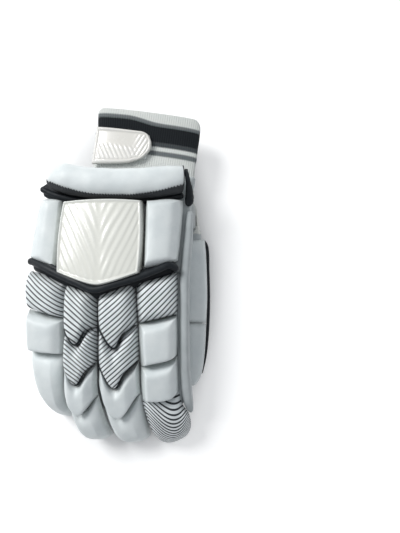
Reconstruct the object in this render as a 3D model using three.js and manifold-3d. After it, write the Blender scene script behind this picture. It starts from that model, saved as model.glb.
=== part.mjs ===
// Right-hand cricket batting glove, lying palm down with the fingers pointing along -Y.
// Millimetres, +Z up, origin at the middle of the underside. The thumb is on the +X side.
// The inner glove is a real hollow: wrist tube, hand pocket, four finger stalls and a thumb stall, with walls 2 to 3 mm thick.
// The padding sits outside it: sausages on each finger, three panels on the back of the hand, a cuff roll, a side bar and a thumb guard.
import * as THREE from 'three';
import Module from 'manifold-3d';
import { mergeVertices } from 'three/addons/utils/BufferGeometryUtils.js';

const wasm = await Module();
wasm.setup();

// ---------- driving sizes, mm ----------
const SHIFT = { x: 0.1, y: -15.9, z: 0.0 };       // from the layout frame to the part's frame
const GAP = 0.4;                                   // between pieces that touch
const STALL = { wall: 2.0, mouth: 0.6 };           // finger tubes: wall, where they open
const PAD_FOOT = 10.1;                             // padding starts this far above a finger's centre line
const PAD_SEAM = 14.5;                             // height of a pad's widest line
const CUFF = { ry: 12.9, rz: 12.0 };
const PIPING_R = 2.6;
const BAND = { x: 22, y: 135, z: 32, lean: 7.5, halfW: 47.5, halfH: 9.0, wall: 2.4, low: -30.5, high: 31.0 };

// ---------- fingers: centre line from the knuckles to the tip ----------
// heading leans the finger towards the thumb, roll turns its back towards the thumb, pitch is how far it bends down at s mm.
const FINGERS = {
  little: { x: -62.2, y: 20, z: 31.6, roll: -12, half: 9.4, halfL: 15.6, halfR: 15.0, end: 123, heading: [[0, 1], [90, 2], [130, 9]], pitch: [[0, 0], [35, 5], [62, 11], [88, 17.5], [108, 27], [121, 43], [137, 92]] },
  ring: { x: -31.2, y: 20, z: 38, roll: -5, half: 9.4, halfL: 13.4, halfR: 13.0, end: 142, heading: [[0, 0.5], [100, 1.5], [150, 7]], pitch: [[0, 0], [40, 2.5], [68, 8.5], [98, 15], [122, 25], [138, 45], [154, 92]] },
  middle: { x: 0.0, y: 20, z: 39, roll: 1, half: 9.4, halfL: 15.8, halfR: 15.6, end: 149, heading: [[0, 0.5], [100, 1.5], [156, 7]], pitch: [[0, 0], [40, 4], [70, 11], [102, 17.5], [129, 26.5], [145, 45], [161, 92]] },
  index: { x: 33.0, y: 20, z: 36.6, roll: 8, half: 9.4, halfL: 14.6, halfR: 16.4, end: 149, heading: [[0, 1.5], [100, 2], [156, 5]], pitch: [[0, 0], [40, 4], [72, 10.5], [104, 16.5], [131, 25.5], [145, 44], [161, 92]] },
  thumb: { x: 61.2, y: 50, z: 14.4, roll: 16, half: 7.6, halfL: 11.0, halfR: 11.2, end: 126, heading: [[0, 3], [45, 1], [85, -3], [130, -9]], pitch: [[0, 0], [60, 3], [100, 4], [125, 5]] },
};

// creases between neighbouring fingers' padding, seen from above
const CREASES = {
  //          [y, x]
  outer: [[30, -80.0], [0, -81.0], [-25, -80.2], [-50, -79.5], [-80, -76.0], [-100, -70.0], [-125, -63.0]],
  little_ring: [[30, -46.0], [0, -45.3], [-60, -46.0], [-95, -47.3], [-110, -43.5], [-125, -38.0]],
  ring_middle: [[30, -17.8], [0, -17.4], [-60, -16.6], [-95, -17.2], [-120, -11.0], [-140, -3.0]],
  middle_index: [[30, 15.2], [0, 15.6], [-30, 17.4], [-60, 18.8], [-95, 19.8], [-120, 24.5], [-145, 31.0]],
  index_side: [[30, 52.2], [0, 52.4], [-60, 52.6], [-88, 53.2], [-108, 56.6], [-117, 62.5], [-130, 65.0], [-150, 62.0]],
};
const SIDES = { little: ['outer', 'little_ring'], ring: ['little_ring', 'ring_middle'], middle: ['ring_middle', 'middle_index'], index: ['middle_index', 'index_side'] };

// seams across each finger, from the knuckles to the tip
const SEAMS = {
  //        [a across, s along]
  little: [[[-18, 0.5], [0, 5.5], [16, 12]], [[-18, 33.5], [0, 39], [17, 43]], [[-17, 69.5], [0, 72], [17, 72.5]], [[-16, 119], [0, 132], [16, 134]]],
  ring: [[[-14, 13], [0, 17.5], [15, 22.5]], [[-15, 50.5], [-2.5, 65.5], [8, 52.5], [15, 51]], [[-16, 79.5], [-4, 97.5], [5, 87], [15, 79.5]], [[-17, 109.5], [-4, 122.5], [14, 107]], [[-14, 136], [0, 150], [14, 155]]],
  middle: [[[-17.5, 23], [0, 17], [15, 12]], [[-17, 50.5], [-3.6, 67.5], [4, 57], [14, 49.5]], [[-17, 82.5], [-4.6, 100], [4, 89], [16, 79.5]], [[-19, 107], [-3.4, 126], [16, 108]], [[-16, 144], [0, 156], [16, 160]]],
  index: [[[-18, 12], [0, 8], [18, 4]], [[-18, 47], [0, 44], [18, 40.5]], [[-18, 82], [0, 80], [9, 78], [18, 72]], [[-18.7, 110.5], [-4, 112.5], [4, 112], [12, 108.5], [18, 101]], [[-16, 148], [4, 160], [22, 156]]],
};
// padding height above the centre line for each row of sausages
const TOPS = {
  little: [30, 29, 27], ring: [32, 31, 29, 25], middle: [32, 31.5, 29.5, 25], index: [31, 30.5, 29, 24],
};

// ---------- small helpers ----------
const rad = (d) => (d * Math.PI) / 180;
const V = (x, y, z) => new THREE.Vector3(x, y, z);
const lerp = (a, b, t) => a + (b - a) * t;
const clamp01 = (t) => Math.min(1, Math.max(0, t));
const smooth = (t) => { t = clamp01(t); return t * t * (3 - 2 * t); };

// smooth curve through the rows of a table, without overshoot
function along(table, x, col = 1) {
  const n = table.length, X = table.map((r) => r[0]), Y = table.map((r) => r[col]);
  if (x <= X[0]) return Y[0];
  if (x >= X[n - 1]) return Y[n - 1];
  const d = X.slice(1).map((v, i) => (Y[i + 1] - Y[i]) / (v - X[i]));
  const m = Y.map((_, i) => (i === 0 ? d[0] : i === n - 1 ? d[n - 2] : d[i - 1] * d[i] <= 0 ? 0 : (2 * d[i - 1] * d[i]) / (d[i - 1] + d[i])));
  let i = 0;
  while (x > X[i + 1]) i++;
  const h = X[i + 1] - X[i], t = (x - X[i]) / h;
  return (2 * t ** 3 - 3 * t * t + 1) * Y[i] + (t ** 3 - 2 * t * t + t) * h * m[i] + (-2 * t ** 3 + 3 * t * t) * Y[i + 1] + (t ** 3 - t * t) * h * m[i + 1];
}

// a finger's frame: at(s, a, h) is the point s mm along it, a mm towards the thumb side and h mm above its centre line
function fingerFrame(f) {
  const ds = 0.5, pts = [V(f.x, f.y, f.z)], cr = Math.cos(rad(f.roll)), sr = Math.sin(rad(f.roll));
  const axes = (s) => {
    const th = rad(along(f.pitch, s)), ph = rad(along(f.heading, s));
    const fwd = V(Math.sin(ph), -Math.cos(ph), 0), side = V(Math.cos(ph), Math.sin(ph), 0), up = V(0, 0, 1);
    const t = fwd.clone().multiplyScalar(Math.cos(th)).addScaledVector(up, -Math.sin(th));
    const n = fwd.clone().multiplyScalar(Math.sin(th)).addScaledVector(up, Math.cos(th));
    return { t, r: side.clone().multiplyScalar(cr).addScaledVector(n, -sr), n: side.clone().multiplyScalar(sr).addScaledVector(n, cr) };
  };
  for (let s = 0; s < 175; s += ds) pts.push(pts[pts.length - 1].clone().addScaledVector(axes(s + ds / 2).t, ds));
  const centre = (s) => {
    if (s <= 0) return pts[0].clone().addScaledVector(axes(0).t, s);
    const i = Math.min(Math.floor(s / ds), pts.length - 2);
    return pts[i].clone().lerp(pts[i + 1], s / ds - i);
  };
  const at = (s, a, h) => { const x = axes(s); return centre(s).addScaledVector(x.r, a).addScaledVector(x.n, h); };
  // the offset a at which the height h is over the crease x(y)
  const aAt = (s, h, crease) => {
    let a = 0;
    for (let k = 0; k < 4; k++) { const p = at(s, a, h), q = at(s, a + 1, h); a += (along(crease.map(([y, x]) => [-y, x]), -p.y) - p.x) / (q.x - p.x); }
    return a;
  };
  return { at, aAt, centre, axes };
}

// a closed solid from two height maps over one square grid, which meet at its border
function pillow(nu, nv, place, top, foot) {
  const pos = [], idx = [], iTop = [], iFoot = [];
  const U = (i) => -Math.cos((Math.PI * i) / nu), W = (j) => -Math.cos((Math.PI * j) / nv);
  for (let j = 0; j <= nv; j++) for (let i = 0; i <= nu; i++) { iTop.push(pos.length / 3); pos.push(...place(U(i), W(j), top(U(i), W(j))).toArray()); }
  for (let j = 0; j <= nv; j++) for (let i = 0; i <= nu; i++) {
    if (i === 0 || j === 0 || i === nu || j === nv) iFoot.push(iTop[j * (nu + 1) + i]);
    else { iFoot.push(pos.length / 3); pos.push(...place(U(i), W(j), foot(U(i), W(j))).toArray()); }
  }
  for (let j = 0; j < nv; j++) for (let i = 0; i < nu; i++) {
    const k = j * (nu + 1) + i, c = [k, k + 1, k + nu + 2, k + nu + 1];
    const t = c.map((q) => iTop[q]), b = c.map((q) => iFoot[q]);
    idx.push(t[0], t[1], t[2], t[0], t[2], t[3], b[0], b[2], b[1], b[0], b[3], b[2]);
  }
  return closed(pos, idx);
}
// a closed solid through rings of points; rings go round counter-clockwise seen from the last one
function loft(rings) {
  const n = rings[0].length, pos = [], idx = [];
  rings.forEach((r) => r.forEach((p) => pos.push(...p.toArray())));
  const cap = (ring, flip) => {
    const c = ring.reduce((a, p) => a.add(p), V(0, 0, 0)).multiplyScalar(1 / n), k = pos.length / 3, base = rings.indexOf(ring) * n;
    pos.push(...c.toArray());
    for (let i = 0; i < n; i++) { const a = base + i, b = base + ((i + 1) % n); idx.push(...(flip ? [k, b, a] : [k, a, b])); }
  };
  for (let j = 0; j < rings.length - 1; j++) for (let i = 0; i < n; i++) {
    const a = j * n + i, b = j * n + ((i + 1) % n), c = a + n, d = b + n;
    idx.push(a, b, d, a, d, c);
  }
  cap(rings[0], true);
  cap(rings[rings.length - 1], false);
  return closed(pos, idx);
}
function closed(pos, idx) {
  const g = new THREE.BufferGeometry();
  g.setAttribute('position', new THREE.Float32BufferAttribute(pos, 3));
  g.setIndex(idx);
  let v = 0;
  for (let i = 0; i < idx.length; i += 3) {
    const [a, b, c] = [0, 1, 2].map((k) => V(pos[3 * idx[i + k]], pos[3 * idx[i + k] + 1], pos[3 * idx[i + k] + 2]));
    v += a.dot(b.cross(c)) / 6;
  }
  if (v < 0) for (let i = 0; i < idx.length; i += 3) [idx[i + 1], idx[i + 2]] = [idx[i + 2], idx[i + 1]];
  g.setIndex(idx);
  return g;
}
const solid = (g) => {
  const s = new THREE.BufferGeometry().setAttribute('position', (g.index ? g.toNonIndexed() : g).getAttribute('position').clone());
  const m = mergeVertices(s, 1e-4);
  return new wasm.Manifold(new wasm.Mesh({ numProp: 3, vertProperties: m.attributes.position.array, triVerts: new Uint32Array(m.index.array) }));
};
const geometryOf = (m) => {
  const mesh = m.getMesh(), g = new THREE.BufferGeometry();
  g.setAttribute('position', new THREE.BufferAttribute(new Float32Array(mesh.vertProperties), 3));
  g.setIndex(new THREE.BufferAttribute(new Uint32Array(mesh.triVerts), 1));
  return g;
};
// a rounded oblong ring, exponent e: 2 is an ellipse, more is squarer
const oval = (n, e) => Array.from({ length: n }, (_, i) => {
  const t = (2 * Math.PI * (i + 0.5)) / n, c = Math.cos(t), s = Math.sin(t);
  return [Math.sign(c) * Math.abs(c) ** (2 / e), Math.sign(s) * Math.abs(s) ** (2 / e)];
});

// ---------- materials ----------
const mat = (color, roughness, metalness = 0) => new THREE.MeshStandardMaterial({ color, roughness, metalness });
const M = {
  white_leather: mat(0xdfe5e6, 0.55), palm_leather: mat(0xe4e4de, 0.65), lining: mat(0xd9dcda, 0.85), striped_fabric: mat(0xc4caca, 0.6),
  knit: mat(0xd6dbd9, 0.95), black_trim: mat(0x23282b, 0.55), moulded_plate: mat(0xe3e3da, 0.25), strap: mat(0xdcdfdc, 0.8),
};
const glove = new THREE.Group();
glove.position.set(SHIFT.x, SHIFT.y, SHIFT.z);
const add = (name, geometry, material) => { const m = new THREE.Mesh(geometry, M[material]); m.name = name; glove.add(m); return m; };

// ---------- inner glove: finger stalls ----------
const frames = Object.fromEntries(Object.entries(FINGERS).map(([k, f]) => [k, fingerFrame(f)]));
// a stall is a closed-ended tube: outer rings to the tip, then inner rings back to the mouth
function stall(name, n = 14) {
  const f = FINGERS[name], fr = frames[name], ring = oval(n, 3.2), steps = name === 'thumb' ? 7 : 8;
  const section = (s, inset, k) => ring.map(([c, q]) => {
    const w = (c < 0 ? f.halfL : f.halfR) * lerp(1, name === 'thumb' ? 0.95 : 0.82, smooth(s / f.end)) * k - inset;
    return fr.at(s, c * w, q * (f.half * (q < 0 ? lerp(1, 0.84, smooth(s / f.end)) : 1) * (0.55 + 0.45 * k) - inset));
  });
  const rows = Array.from({ length: steps + 1 }, (_, i) => ({ s: lerp(0, f.end - 12, i / steps), k: 1 })).concat([{ s: f.end - 6, k: 0.9 }, { s: f.end - 1.5, k: 0.66 }]);
  const outer = [section(STALL.mouth, 0, 1), ...rows.slice(1).map((r) => section(r.s, 0, r.k))];
  const inner = [section(STALL.mouth, STALL.wall, 1), ...rows.slice(1).map((r) => section(r.s - (r.k < 1 ? 2 : 0), STALL.wall, r.k))];
  const rings = outer.concat(inner.slice().reverse());
  // the caps: tip outside, tip inside and the rim between the two mouths
  const m = outer[0].length, pos = [], idx = [];
  rings.forEach((r) => r.forEach((p) => pos.push(...p.toArray())));
  const N = outer.length;
  const band = (j0, j1) => { for (let i = 0; i < m; i++) { const a = j0 * m + i, b = j0 * m + ((i + 1) % m), c = j1 * m + i, d = j1 * m + ((i + 1) % m); idx.push(a, b, d, a, d, c); } };
  for (let j = 0; j < N - 1; j++) band(j, j + 1);
  for (let j = N; j < 2 * N - 1; j++) band(j, j + 1);
  band(2 * N - 1, 0);
  const tip = (j, flip) => { const k = pos.length / 3; pos.push(...rings[j].reduce((a, p) => a.add(p), V(0, 0, 0)).multiplyScalar(1 / m).toArray()); for (let i = 0; i < m; i++) { const a = j * m + i, b = j * m + ((i + 1) % m); idx.push(...(flip ? [k, b, a] : [k, a, b])); } };
  tip(N - 1, false);
  tip(N, true);
  return closed(pos, idx);
}
for (const name of ['little', 'ring', 'middle', 'index']) add(`finger_stall_${name}`, stall(name), 'lining');
add('thumb_stall', stall('thumb'), 'lining');

// ---------- inner glove: hand pocket, from the wrist to the finger stalls ----------
// rows: y, left x, right x, underside z, top z, how far the section arches over the knuckles
const POCKET = [
  { y: 104.2, xl: -29.5, xr: 63.0, zb: 23.0, zt: 41.0, arch: 0 },
  { y: 95, xl: -45, xr: 62.0, zb: 6.0, zt: 41.5, arch: 0.2 },
  { y: 86, xl: -60, xr: 60.0, zb: 0, zt: 43.5, arch: 0.5 },
  { y: 74, xl: -71, xr: 57.5, zb: 0, zt: 45.8, arch: 1 },
  { y: 60, xl: -76, xr: 56.5, zb: 0, zt: 46.9, arch: 1 },
  { y: 52.5, xl: -77, xr: 49.2, zb: 4.5, zt: 47.5, arch: 1 },
  { y: 46, xl: -77.5, xr: 48.8, zb: 10.0, zt: 48.0, arch: 1 },
  { y: 33, xl: -77.5, xr: 48.5, zb: 22.0, zt: 49.0, arch: 1 },
  { y: 20.2, xl: -77.5, xr: 48.0, zb: 29.5, zt: 49.6, arch: 1 },
];
const ARCH = { x: 2, k: 0.0021 };
const archDrop = (x) => ARCH.k * (x - ARCH.x) ** 2;
function pocketSolid(inset) {
  const ring = oval(28, 3.4);
  const last = POCKET.length - 1;
  return solid(loft(POCKET.map((r, j) => {
    const y = inset ? r.y + (j === 0 ? 3 : j === last ? -3 : 0) : r.y;
    const cx = (r.xl + r.xr) / 2, cz = (r.zb + r.zt) / 2, w = (r.xr - r.xl) / 2 - inset, h = (r.zt - r.zb) / 2 - inset;
    return ring.map(([c, q]) => V(cx + c * w, y, Math.max(inset, r.zb === 0 && q < 0 ? cz + 1.06 * q * h : cz + q * h - r.arch * archDrop(cx + c * w))));
  })));
}
// the thumb's root: a short wide tube from the side of the pocket to the mouth of the thumb stall
const ROOT = [
  { y: 92, xl: 40, xr: 62.5, zb: 3, zt: 29 }, { y: 80, xl: 40, xr: 68.8, zb: 0, zt: 30.5 }, { y: 66, xl: 44, xr: 70.5, zb: 0, zt: 30 }, { y: 53.6, xl: 50.0, xr: 73.4, zb: 2.5, zt: 26.5 },
];
function rootSolid(inset) {
  const ring = oval(14, 3);
  return solid(loft(ROOT.map((r, j) => {
    const y = inset ? r.y + (j === 0 ? -2 : j === ROOT.length - 1 ? -3 : 0) : r.y;
    const cx = (r.xl + r.xr) / 2, cz = (r.zb + r.zt) / 2;
    return ring.map(([c, q]) => V(cx + c * ((r.xr - r.xl) / 2 - inset), y, Math.max(r.zb + inset, cz + q * ((r.zt - r.zb) / 2 - inset))));
  })));
}
const WALL = 2.2;
const shell = pocketSolid(0).add(rootSolid(0)).subtract(pocketSolid(WALL)).subtract(rootSolid(WALL));
// the leather palm and the back lining meet along this line, seen from the side: [y, z]
const PARTING = [[110, 31.5], [95, 26], [80, 24], [60, 25], [46, 30], [33, 35], [10, 38]];
function sideSlab(upper) {
  const g = GAP / 2 * (upper ? 1 : -1), shape = new THREE.Shape(PARTING.map(([y, z]) => new THREE.Vector2(y, z + g)));
  const far = upper ? 90 : -40;
  shape.lineTo(10, far); shape.lineTo(110, far);
  const s = new THREE.ExtrudeGeometry(shape, { depth: 260, bevelEnabled: false });
  s.applyMatrix4(new THREE.Matrix4().makeBasis(V(0, 1, 0), V(0, 0, 1), V(1, 0, 0)).setPosition(-130, 0, 0));
  return solid(s);
}
add('palm_leather', geometryOf(shell.intersect(sideSlab(false))), 'palm_leather');
add('back_lining', geometryOf(shell.intersect(sideSlab(true))), 'lining');

// ---------- wristband: a knitted tube, open at both ends ----------
const bandAxes = { u: V(Math.sin(rad(BAND.lean)), Math.cos(rad(BAND.lean)), 0), w: V(Math.cos(rad(BAND.lean)), -Math.sin(rad(BAND.lean)), 0) };
const bandAt = (along_, across, up) => V(BAND.x, BAND.y, BAND.z).addScaledVector(bandAxes.u, along_).addScaledVector(bandAxes.w, across).add(V(0, 0, up));
const bandRing = (l, inset, n = 26) => oval(n, 2.7).map(([c, q]) => bandAt(l, c * (BAND.halfW - inset), q * (BAND.halfH - inset)));
function bandTube() {
  const L = [BAND.low, 0, BAND.high], outer = L.map((l) => bandRing(l, 0)), inner = L.map((l) => bandRing(l, BAND.wall)).reverse();
  const rings = outer.concat(inner), n = rings[0].length, pos = [], idx = [];
  rings.forEach((r) => r.forEach((p) => pos.push(...p.toArray())));
  for (let j = 0; j < rings.length; j++) for (let i = 0; i < n; i++) {
    const k = (j + 1) % rings.length, a = j * n + i, b = j * n + ((i + 1) % n), c = k * n + i, d = k * n + ((i + 1) % n);
    idx.push(a, b, d, a, d, c);
  }
  return closed(pos, idx);
}
// the tube is cut square to the glove where it meets the pocket
const cutBox = new THREE.BoxGeometry(200, 60, 120); cutBox.translate(20, 104.6 - 30, 30);
add('wristband', geometryOf(solid(bandTube()).subtract(solid(cutBox))), 'knit');

// ---------- strap round the outer edge of the wristband, and the moulded patch on it ----------
// the strap runs over the back from the patch, round the edge and a little way along the underside
const STRAP = { mid: -3.2, half: 11.0, off: 0.5, thick: 1.6, backTo: 0, underTo: 12 };
function wrapStrip(offset, thick, half, backTo, underTo, nose) {
  // section line round the band's outer edge, as [across, up] and its outward normal
  const line = [], n = 40;
  for (let i = 0; i <= n; i++) {
    const t = lerp(Math.PI * 0.5, Math.PI * 1.5, i / n), c = Math.cos(t), s = Math.sin(t), e = 2.7;
    line.push([Math.sign(c) * Math.abs(c) ** (2 / e) * BAND.halfW, Math.sign(s) * Math.abs(s) ** (2 / e) * BAND.halfH]);
  }
  const pts = [[backTo, BAND.halfH], ...line.filter(([x, z]) => (z > 0 ? x < backTo - 1 : x < underTo - 1)), [underTo, -BAND.halfH]];
  const normal = pts.map((_, i) => {
    const a = pts[Math.max(0, i - 1)], b = pts[Math.min(pts.length - 1, i + 1)], d = Math.hypot(b[0] - a[0], b[1] - a[1]) || 1;
    return [(b[1] - a[1]) / d, -(b[0] - a[0]) / d];
  }).map(([x, z], i) => { const out = x * pts[i][0] / BAND.halfW + z * pts[i][1] / BAND.halfH; return out < 0 ? [-x, -z] : [x, z]; });
  const rings = pts.map(([x, z], i) => {
    const [nx, nz] = normal[i], hw = half * (nose ? nose(x, z) : 1);
    const at = (l, o) => bandAt(STRAP.mid + l, x + nx * o, z + nz * o);
    return [at(-hw, offset), at(hw, offset), at(hw, offset + thick), at(-hw, offset + thick)];
  });
  return loft(rings);
}
add('wrist_strap', wrapStrip(STRAP.off, STRAP.thick, STRAP.half, 2, STRAP.underTo), 'strap');
// the patch: flat plate with a blunt nose, lying on the strap over the back of the band
function patch() {
  const shape = new THREE.Shape([[-46.5, -21.8], [-28, -19.6], [-14, -17.2], [-5.5, -14.4], [1, -9], [5.2, -1.5], [5.2, 2.5], [2.8, 8.5], [-2, 12.6], [-7, 13.4], [-46.5, 13.4]].map(([x, y]) => new THREE.Vector2(x, y)));
  const g = new THREE.ExtrudeGeometry(shape, { depth: 2.2, bevelEnabled: true, bevelThickness: 0.6, bevelSize: 0.6, bevelSegments: 1, steps: 1 });
  const top = BAND.halfH + STRAP.off + STRAP.thick + GAP;
  g.applyMatrix4(new THREE.Matrix4().makeBasis(bandAxes.w, bandAxes.u, V(0, 0, 1)).setPosition(bandAt(STRAP.mid, 0, top + 0.6)));
  return g;
}
add('strap_patch', patch(), 'moulded_plate');

// ---------- cuff roll and its black piping ----------
// rows: x, y, z of the roll's centre and how full it is
const ROLL = [[-64.5, 102.3, 51, 0.62], [-58, 100.9, 54, 0.86], [-42, 97.2, 57.5, 1], [-18, 93.5, 59.5, 1], [12, 92.9, 59.5, 1], [34, 94.9, 58.8, 1], [48.5, 97.0, 57.2, 0.95], [54.2, 98.0, 55.6, 0.78]];
add('cuff_roll', loft(ROLL.map(([x, y, z, k], j) => {
  const a = ROLL[Math.max(0, j - 1)], b = ROLL[Math.min(ROLL.length - 1, j + 1)], d = V(b[0] - a[0], b[1] - a[1], b[2] - a[2]).normalize();
  const side = V(0, 1, 0).addScaledVector(d, -d.y).normalize(), up = side.clone().cross(d).multiplyScalar(-1);
  return oval(14, 2.3).map(([c, q]) => V(x, y, z).addScaledVector(side, c * CUFF.ry * k).addScaledVector(up, q * CUFF.rz * k));
})), 'white_leather');
// a round cord through a table of points, tapered at its ends
function cord(points, r, n = 8, endScale = 0.5, wide = r) {
  const curve = new THREE.CatmullRomCurve3(points.map((p) => V(...p))), steps = points.length * 2;
  return loft(Array.from({ length: steps + 1 }, (_, i) => {
    const p = curve.getPointAt(i / steps), t = curve.getTangentAt(i / steps), side = V(0, 0, 1).cross(t).normalize(), up = t.clone().cross(side);
    const k = i === 0 || i === steps ? endScale : 1;
    return Array.from({ length: n }, (_, q) => p.clone().addScaledVector(side, Math.cos((2 * Math.PI * q) / n) * wide * k).addScaledVector(up, Math.sin((2 * Math.PI * q) / n) * r * k));
  }));
}
add('cuff_piping', cord([[-71.5, 91.5, 49], [-62, 86.6, 49.2], [-44, 81.8, 49.2], [-16, 79.3, 50.0], [12, 79.6, 50.2], [36, 81.6, 49.4], [49, 83.6, 48.6], [57.0, 85.4, 48.2]], 2.7), 'black_trim');
// the black binding that closes the roll's thumb end and runs down beside it
add('cuff_binding', cord([[61.0, 107.0, 57], [61.1, 102.0, 62.5], [61.2, 95, 61.5], [61.4, 88.5, 54.5], [61.9, 82, 47.5], [62.0, 77.6, 43.5]], 2.2, 8, 0.5, 3.1), 'black_trim');

// ---------- panels on the back of the hand ----------
// the surface that they are sewn on
const backZ = (x, y) => 50.6 - archDrop(x) - 0.075 * (y - 20);
// corners anticlockwise from the finger end's little-finger side, as [x, y], then the point in the middle of the finger end
const PANELS = {
  back_block_outer: { corners: [[-80.4, 28.5], [-53.8, 18.0], [-50.4, 78.0], [-74.5, 80.0]], point: null, top: 20.5, edge: 7 },
  back_plate: { corners: [[-52.6, 14.8], [22.6, 13.3], [23.4, 77.0], [-49.2, 77.0]], point: [-17.0, 1.9], top: 24.0, edge: 11 },
  back_block_inner: { corners: [[23.6, 16.0], [52.6, 24.5], [57.6, 80.0], [24.4, 77.5]], point: null, top: 21.5, edge: 7 },
};
const pillowTop = (u, w, p = 4, q = 2) => Math.max(0, (1 - Math.abs(u) ** p) * (1 - Math.abs(w) ** p)) ** (1 / q);
for (const [name, P] of Object.entries(PANELS)) {
  const [a, b, c, d] = P.corners;
  const place = (u, w, h) => {
    const k = 0.10, uu = u * Math.sqrt(1 - k * w * w), ww = w * Math.sqrt(1 - k * u * u);
    const s = (uu + 1) / 2, t = (ww + 1) / 2;
    let lowX = lerp(a[0], b[0], s), lowY = lerp(a[1], b[1], s);
    if (P.point) lowY = s < 0.5 ? lerp(a[1], P.point[1], s * 2) : lerp(P.point[1], b[1], s * 2 - 1);
    const x = lerp(lowX, lerp(d[0], c[0], s), t), y = lerp(lowY, lerp(d[1], c[1], s), t);
    return V(x, y, backZ(x, y) + h);
  };
  add(name, pillow(8, 8, place, (u, w) => P.edge + (P.top - P.edge) * pillowTop(u, w, 5), (u, w) => P.edge - (P.edge - 0.6) * pillowTop(u, w, 4)), name === 'back_plate' ? 'moulded_plate' : 'white_leather');
}
// the black piping under the panels, pointed in the middle
add('knuckle_piping', cord([[-80.4, 26.2, 48], [-76, 25.0, 50.5], [-66, 20.7, 57.5], [-50, 13.0, 64.5], [-33, 5.6, 69.2], [-17.5, -0.6, 71.1], [-2, 3.4, 71.1], [21, 10.6, 69.2], [36, 16.8, 66.2], [44, 20.4, 64.2], [48.6, 19.6, 61.8], [52.0, 17.0, 58.5]], PIPING_R), 'black_trim');

// ---------- sausages on the fingers ----------
const padNames = { little: ['striped', 'block', 'tip'], ring: ['striped', 'striped', 'point', 'tip'], middle: ['striped', 'striped', 'point', 'tip'], index: ['striped', 'block', 'block', 'striped_tip'] };
for (const [finger, seams] of Object.entries(SEAMS)) {
  const fr = frames[finger], [cl, cr] = SIDES[finger].map((k) => CREASES[k]);
  for (let k = 0; k < seams.length - 1; k++) {
    const tip = k === seams.length - 2, top = TOPS[finger][k], first = seams[k], last = seams[k + 1];
    const place = (u, w, h) => {
      const round = tip ? (w > 0 ? 0.62 : 0.05) : 0.07;
      const uu = u * Math.sqrt(1 - round * w * w * (tip && w > 0 ? w : 1)), t = (w + 1) / 2;
      const mid = lerp(along(first, 0), along(last, 0), t);
      const aL = fr.aAt(mid, PAD_SEAM, cl) + GAP, aR = fr.aAt(mid, PAD_SEAM, cr) - GAP;
      const a = lerp(aL, aR, (uu + 1) / 2);
      const s0 = along(first, a) + GAP, s1 = along(last, a) - GAP;
      const s = lerp(s0, s1, t);
      const p = fr.at(s, a, h);
      if (tip) p.z = Math.max(p.z, 0);
      return p;
    };
    // the tip is thinner where it turns under
    const H = (w) => (tip ? lerp(top, 17.5, smooth((w - 0.1) / 0.9)) : top);
    const S = (w) => (tip ? lerp(PAD_SEAM, 12.5, smooth((w + 0.2) / 1.2)) : PAD_SEAM);
    add(`${finger}_${k + 1}_${padNames[finger][k]}`, pillow(6, tip ? 10 : 6, place, (u, w) => S(w) + (H(w) - S(w)) * pillowTop(u, w, 4), (u, w) => S(w) - (S(w) - PAD_FOOT) * pillowTop(u, w, 3)), padNames[finger][k].startsWith('striped') ? 'striped_fabric' : 'white_leather');
  }
}

// ---------- side bar along the forefinger ----------
// rows: y, left x, right x, underside z, top z
const SIDE_BAR = [
  [73, 60.5, 64.0, 36, 44], [69, 58.6, 65.6, 31.5, 49], [50, 56.8, 65.2, 31.5, 52], [28, 54.6, 63.6, 31.5, 54], [5, 53.2, 62.2, 32, 54.5],
  [-20, 53.3, 62.2, 31, 53], [-45, 53.3, 62.2, 28, 50.5], [-68, 53.4, 62.8, 24, 46], [-86, 54.4, 64.2, 21.5, 41], [-99, 56.4, 65.2, 17.5, 35.5], [-105, 58.8, 65.4, 16.5, 30], [-109, 61.6, 64.8, 18.5, 26],
];
add('index_side_bar', loft(SIDE_BAR.map(([y, xl, xr, zb, zt]) => oval(10, 2.8).map(([c, q]) => V((xl + xr) / 2 + (c * (xr - xl)) / 2, y, (zb + zt) / 2 + (q * (zt - zb)) / 2)))), 'white_leather');

// ---------- thumb guard ----------
const THUMB = [
  { name: 'thumb_guard', s0: 1.0, s1: 77.5, top: 15.6, wideL: 12.6, wideR: 13.2 },
  { name: 'thumb_guard_tip', s0: 78.5, s1: 135, top: 13.6, wideL: 10.4, wideR: 13.0 },
];
const THUMB_SEAM = 9.2, THUMB_FOOT = 8.2;
for (const T of THUMB) {
  const fr = frames.thumb, tip = T.name.endsWith('tip');
  const place = (u, w, h) => {
    const round = tip && w > 0 ? 0.75 * w * w : 0.10, t = (w + 1) / 2;
    return fr.at(lerp(T.s0, T.s1, t), u * Math.sqrt(1 - round * w * w) * (u < 0 ? T.wideL : T.wideR), h);
  };
  add(T.name, pillow(6, 8, place, (u, w) => THUMB_SEAM + (T.top - THUMB_SEAM) * pillowTop(u, w, 4), (u, w) => lerp(THUMB_SEAM, THUMB_FOOT, pillowTop(u, w, 3))), 'white_leather');
}
add('thumb_piping', cord([1.5, 7, 30, 60, 90, 110, 124].map((s, i) => frames.thumb.at(s, [12.0, 14.9, 15.2, 15.2, 15.0, 14.4, 12.8][i], [6.4, 6.4, 6.4, 6.4, 6.2, 6, 6][i]).toArray()), 1.5, 8), 'black_trim');

export default glove;
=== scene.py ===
import math

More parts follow.
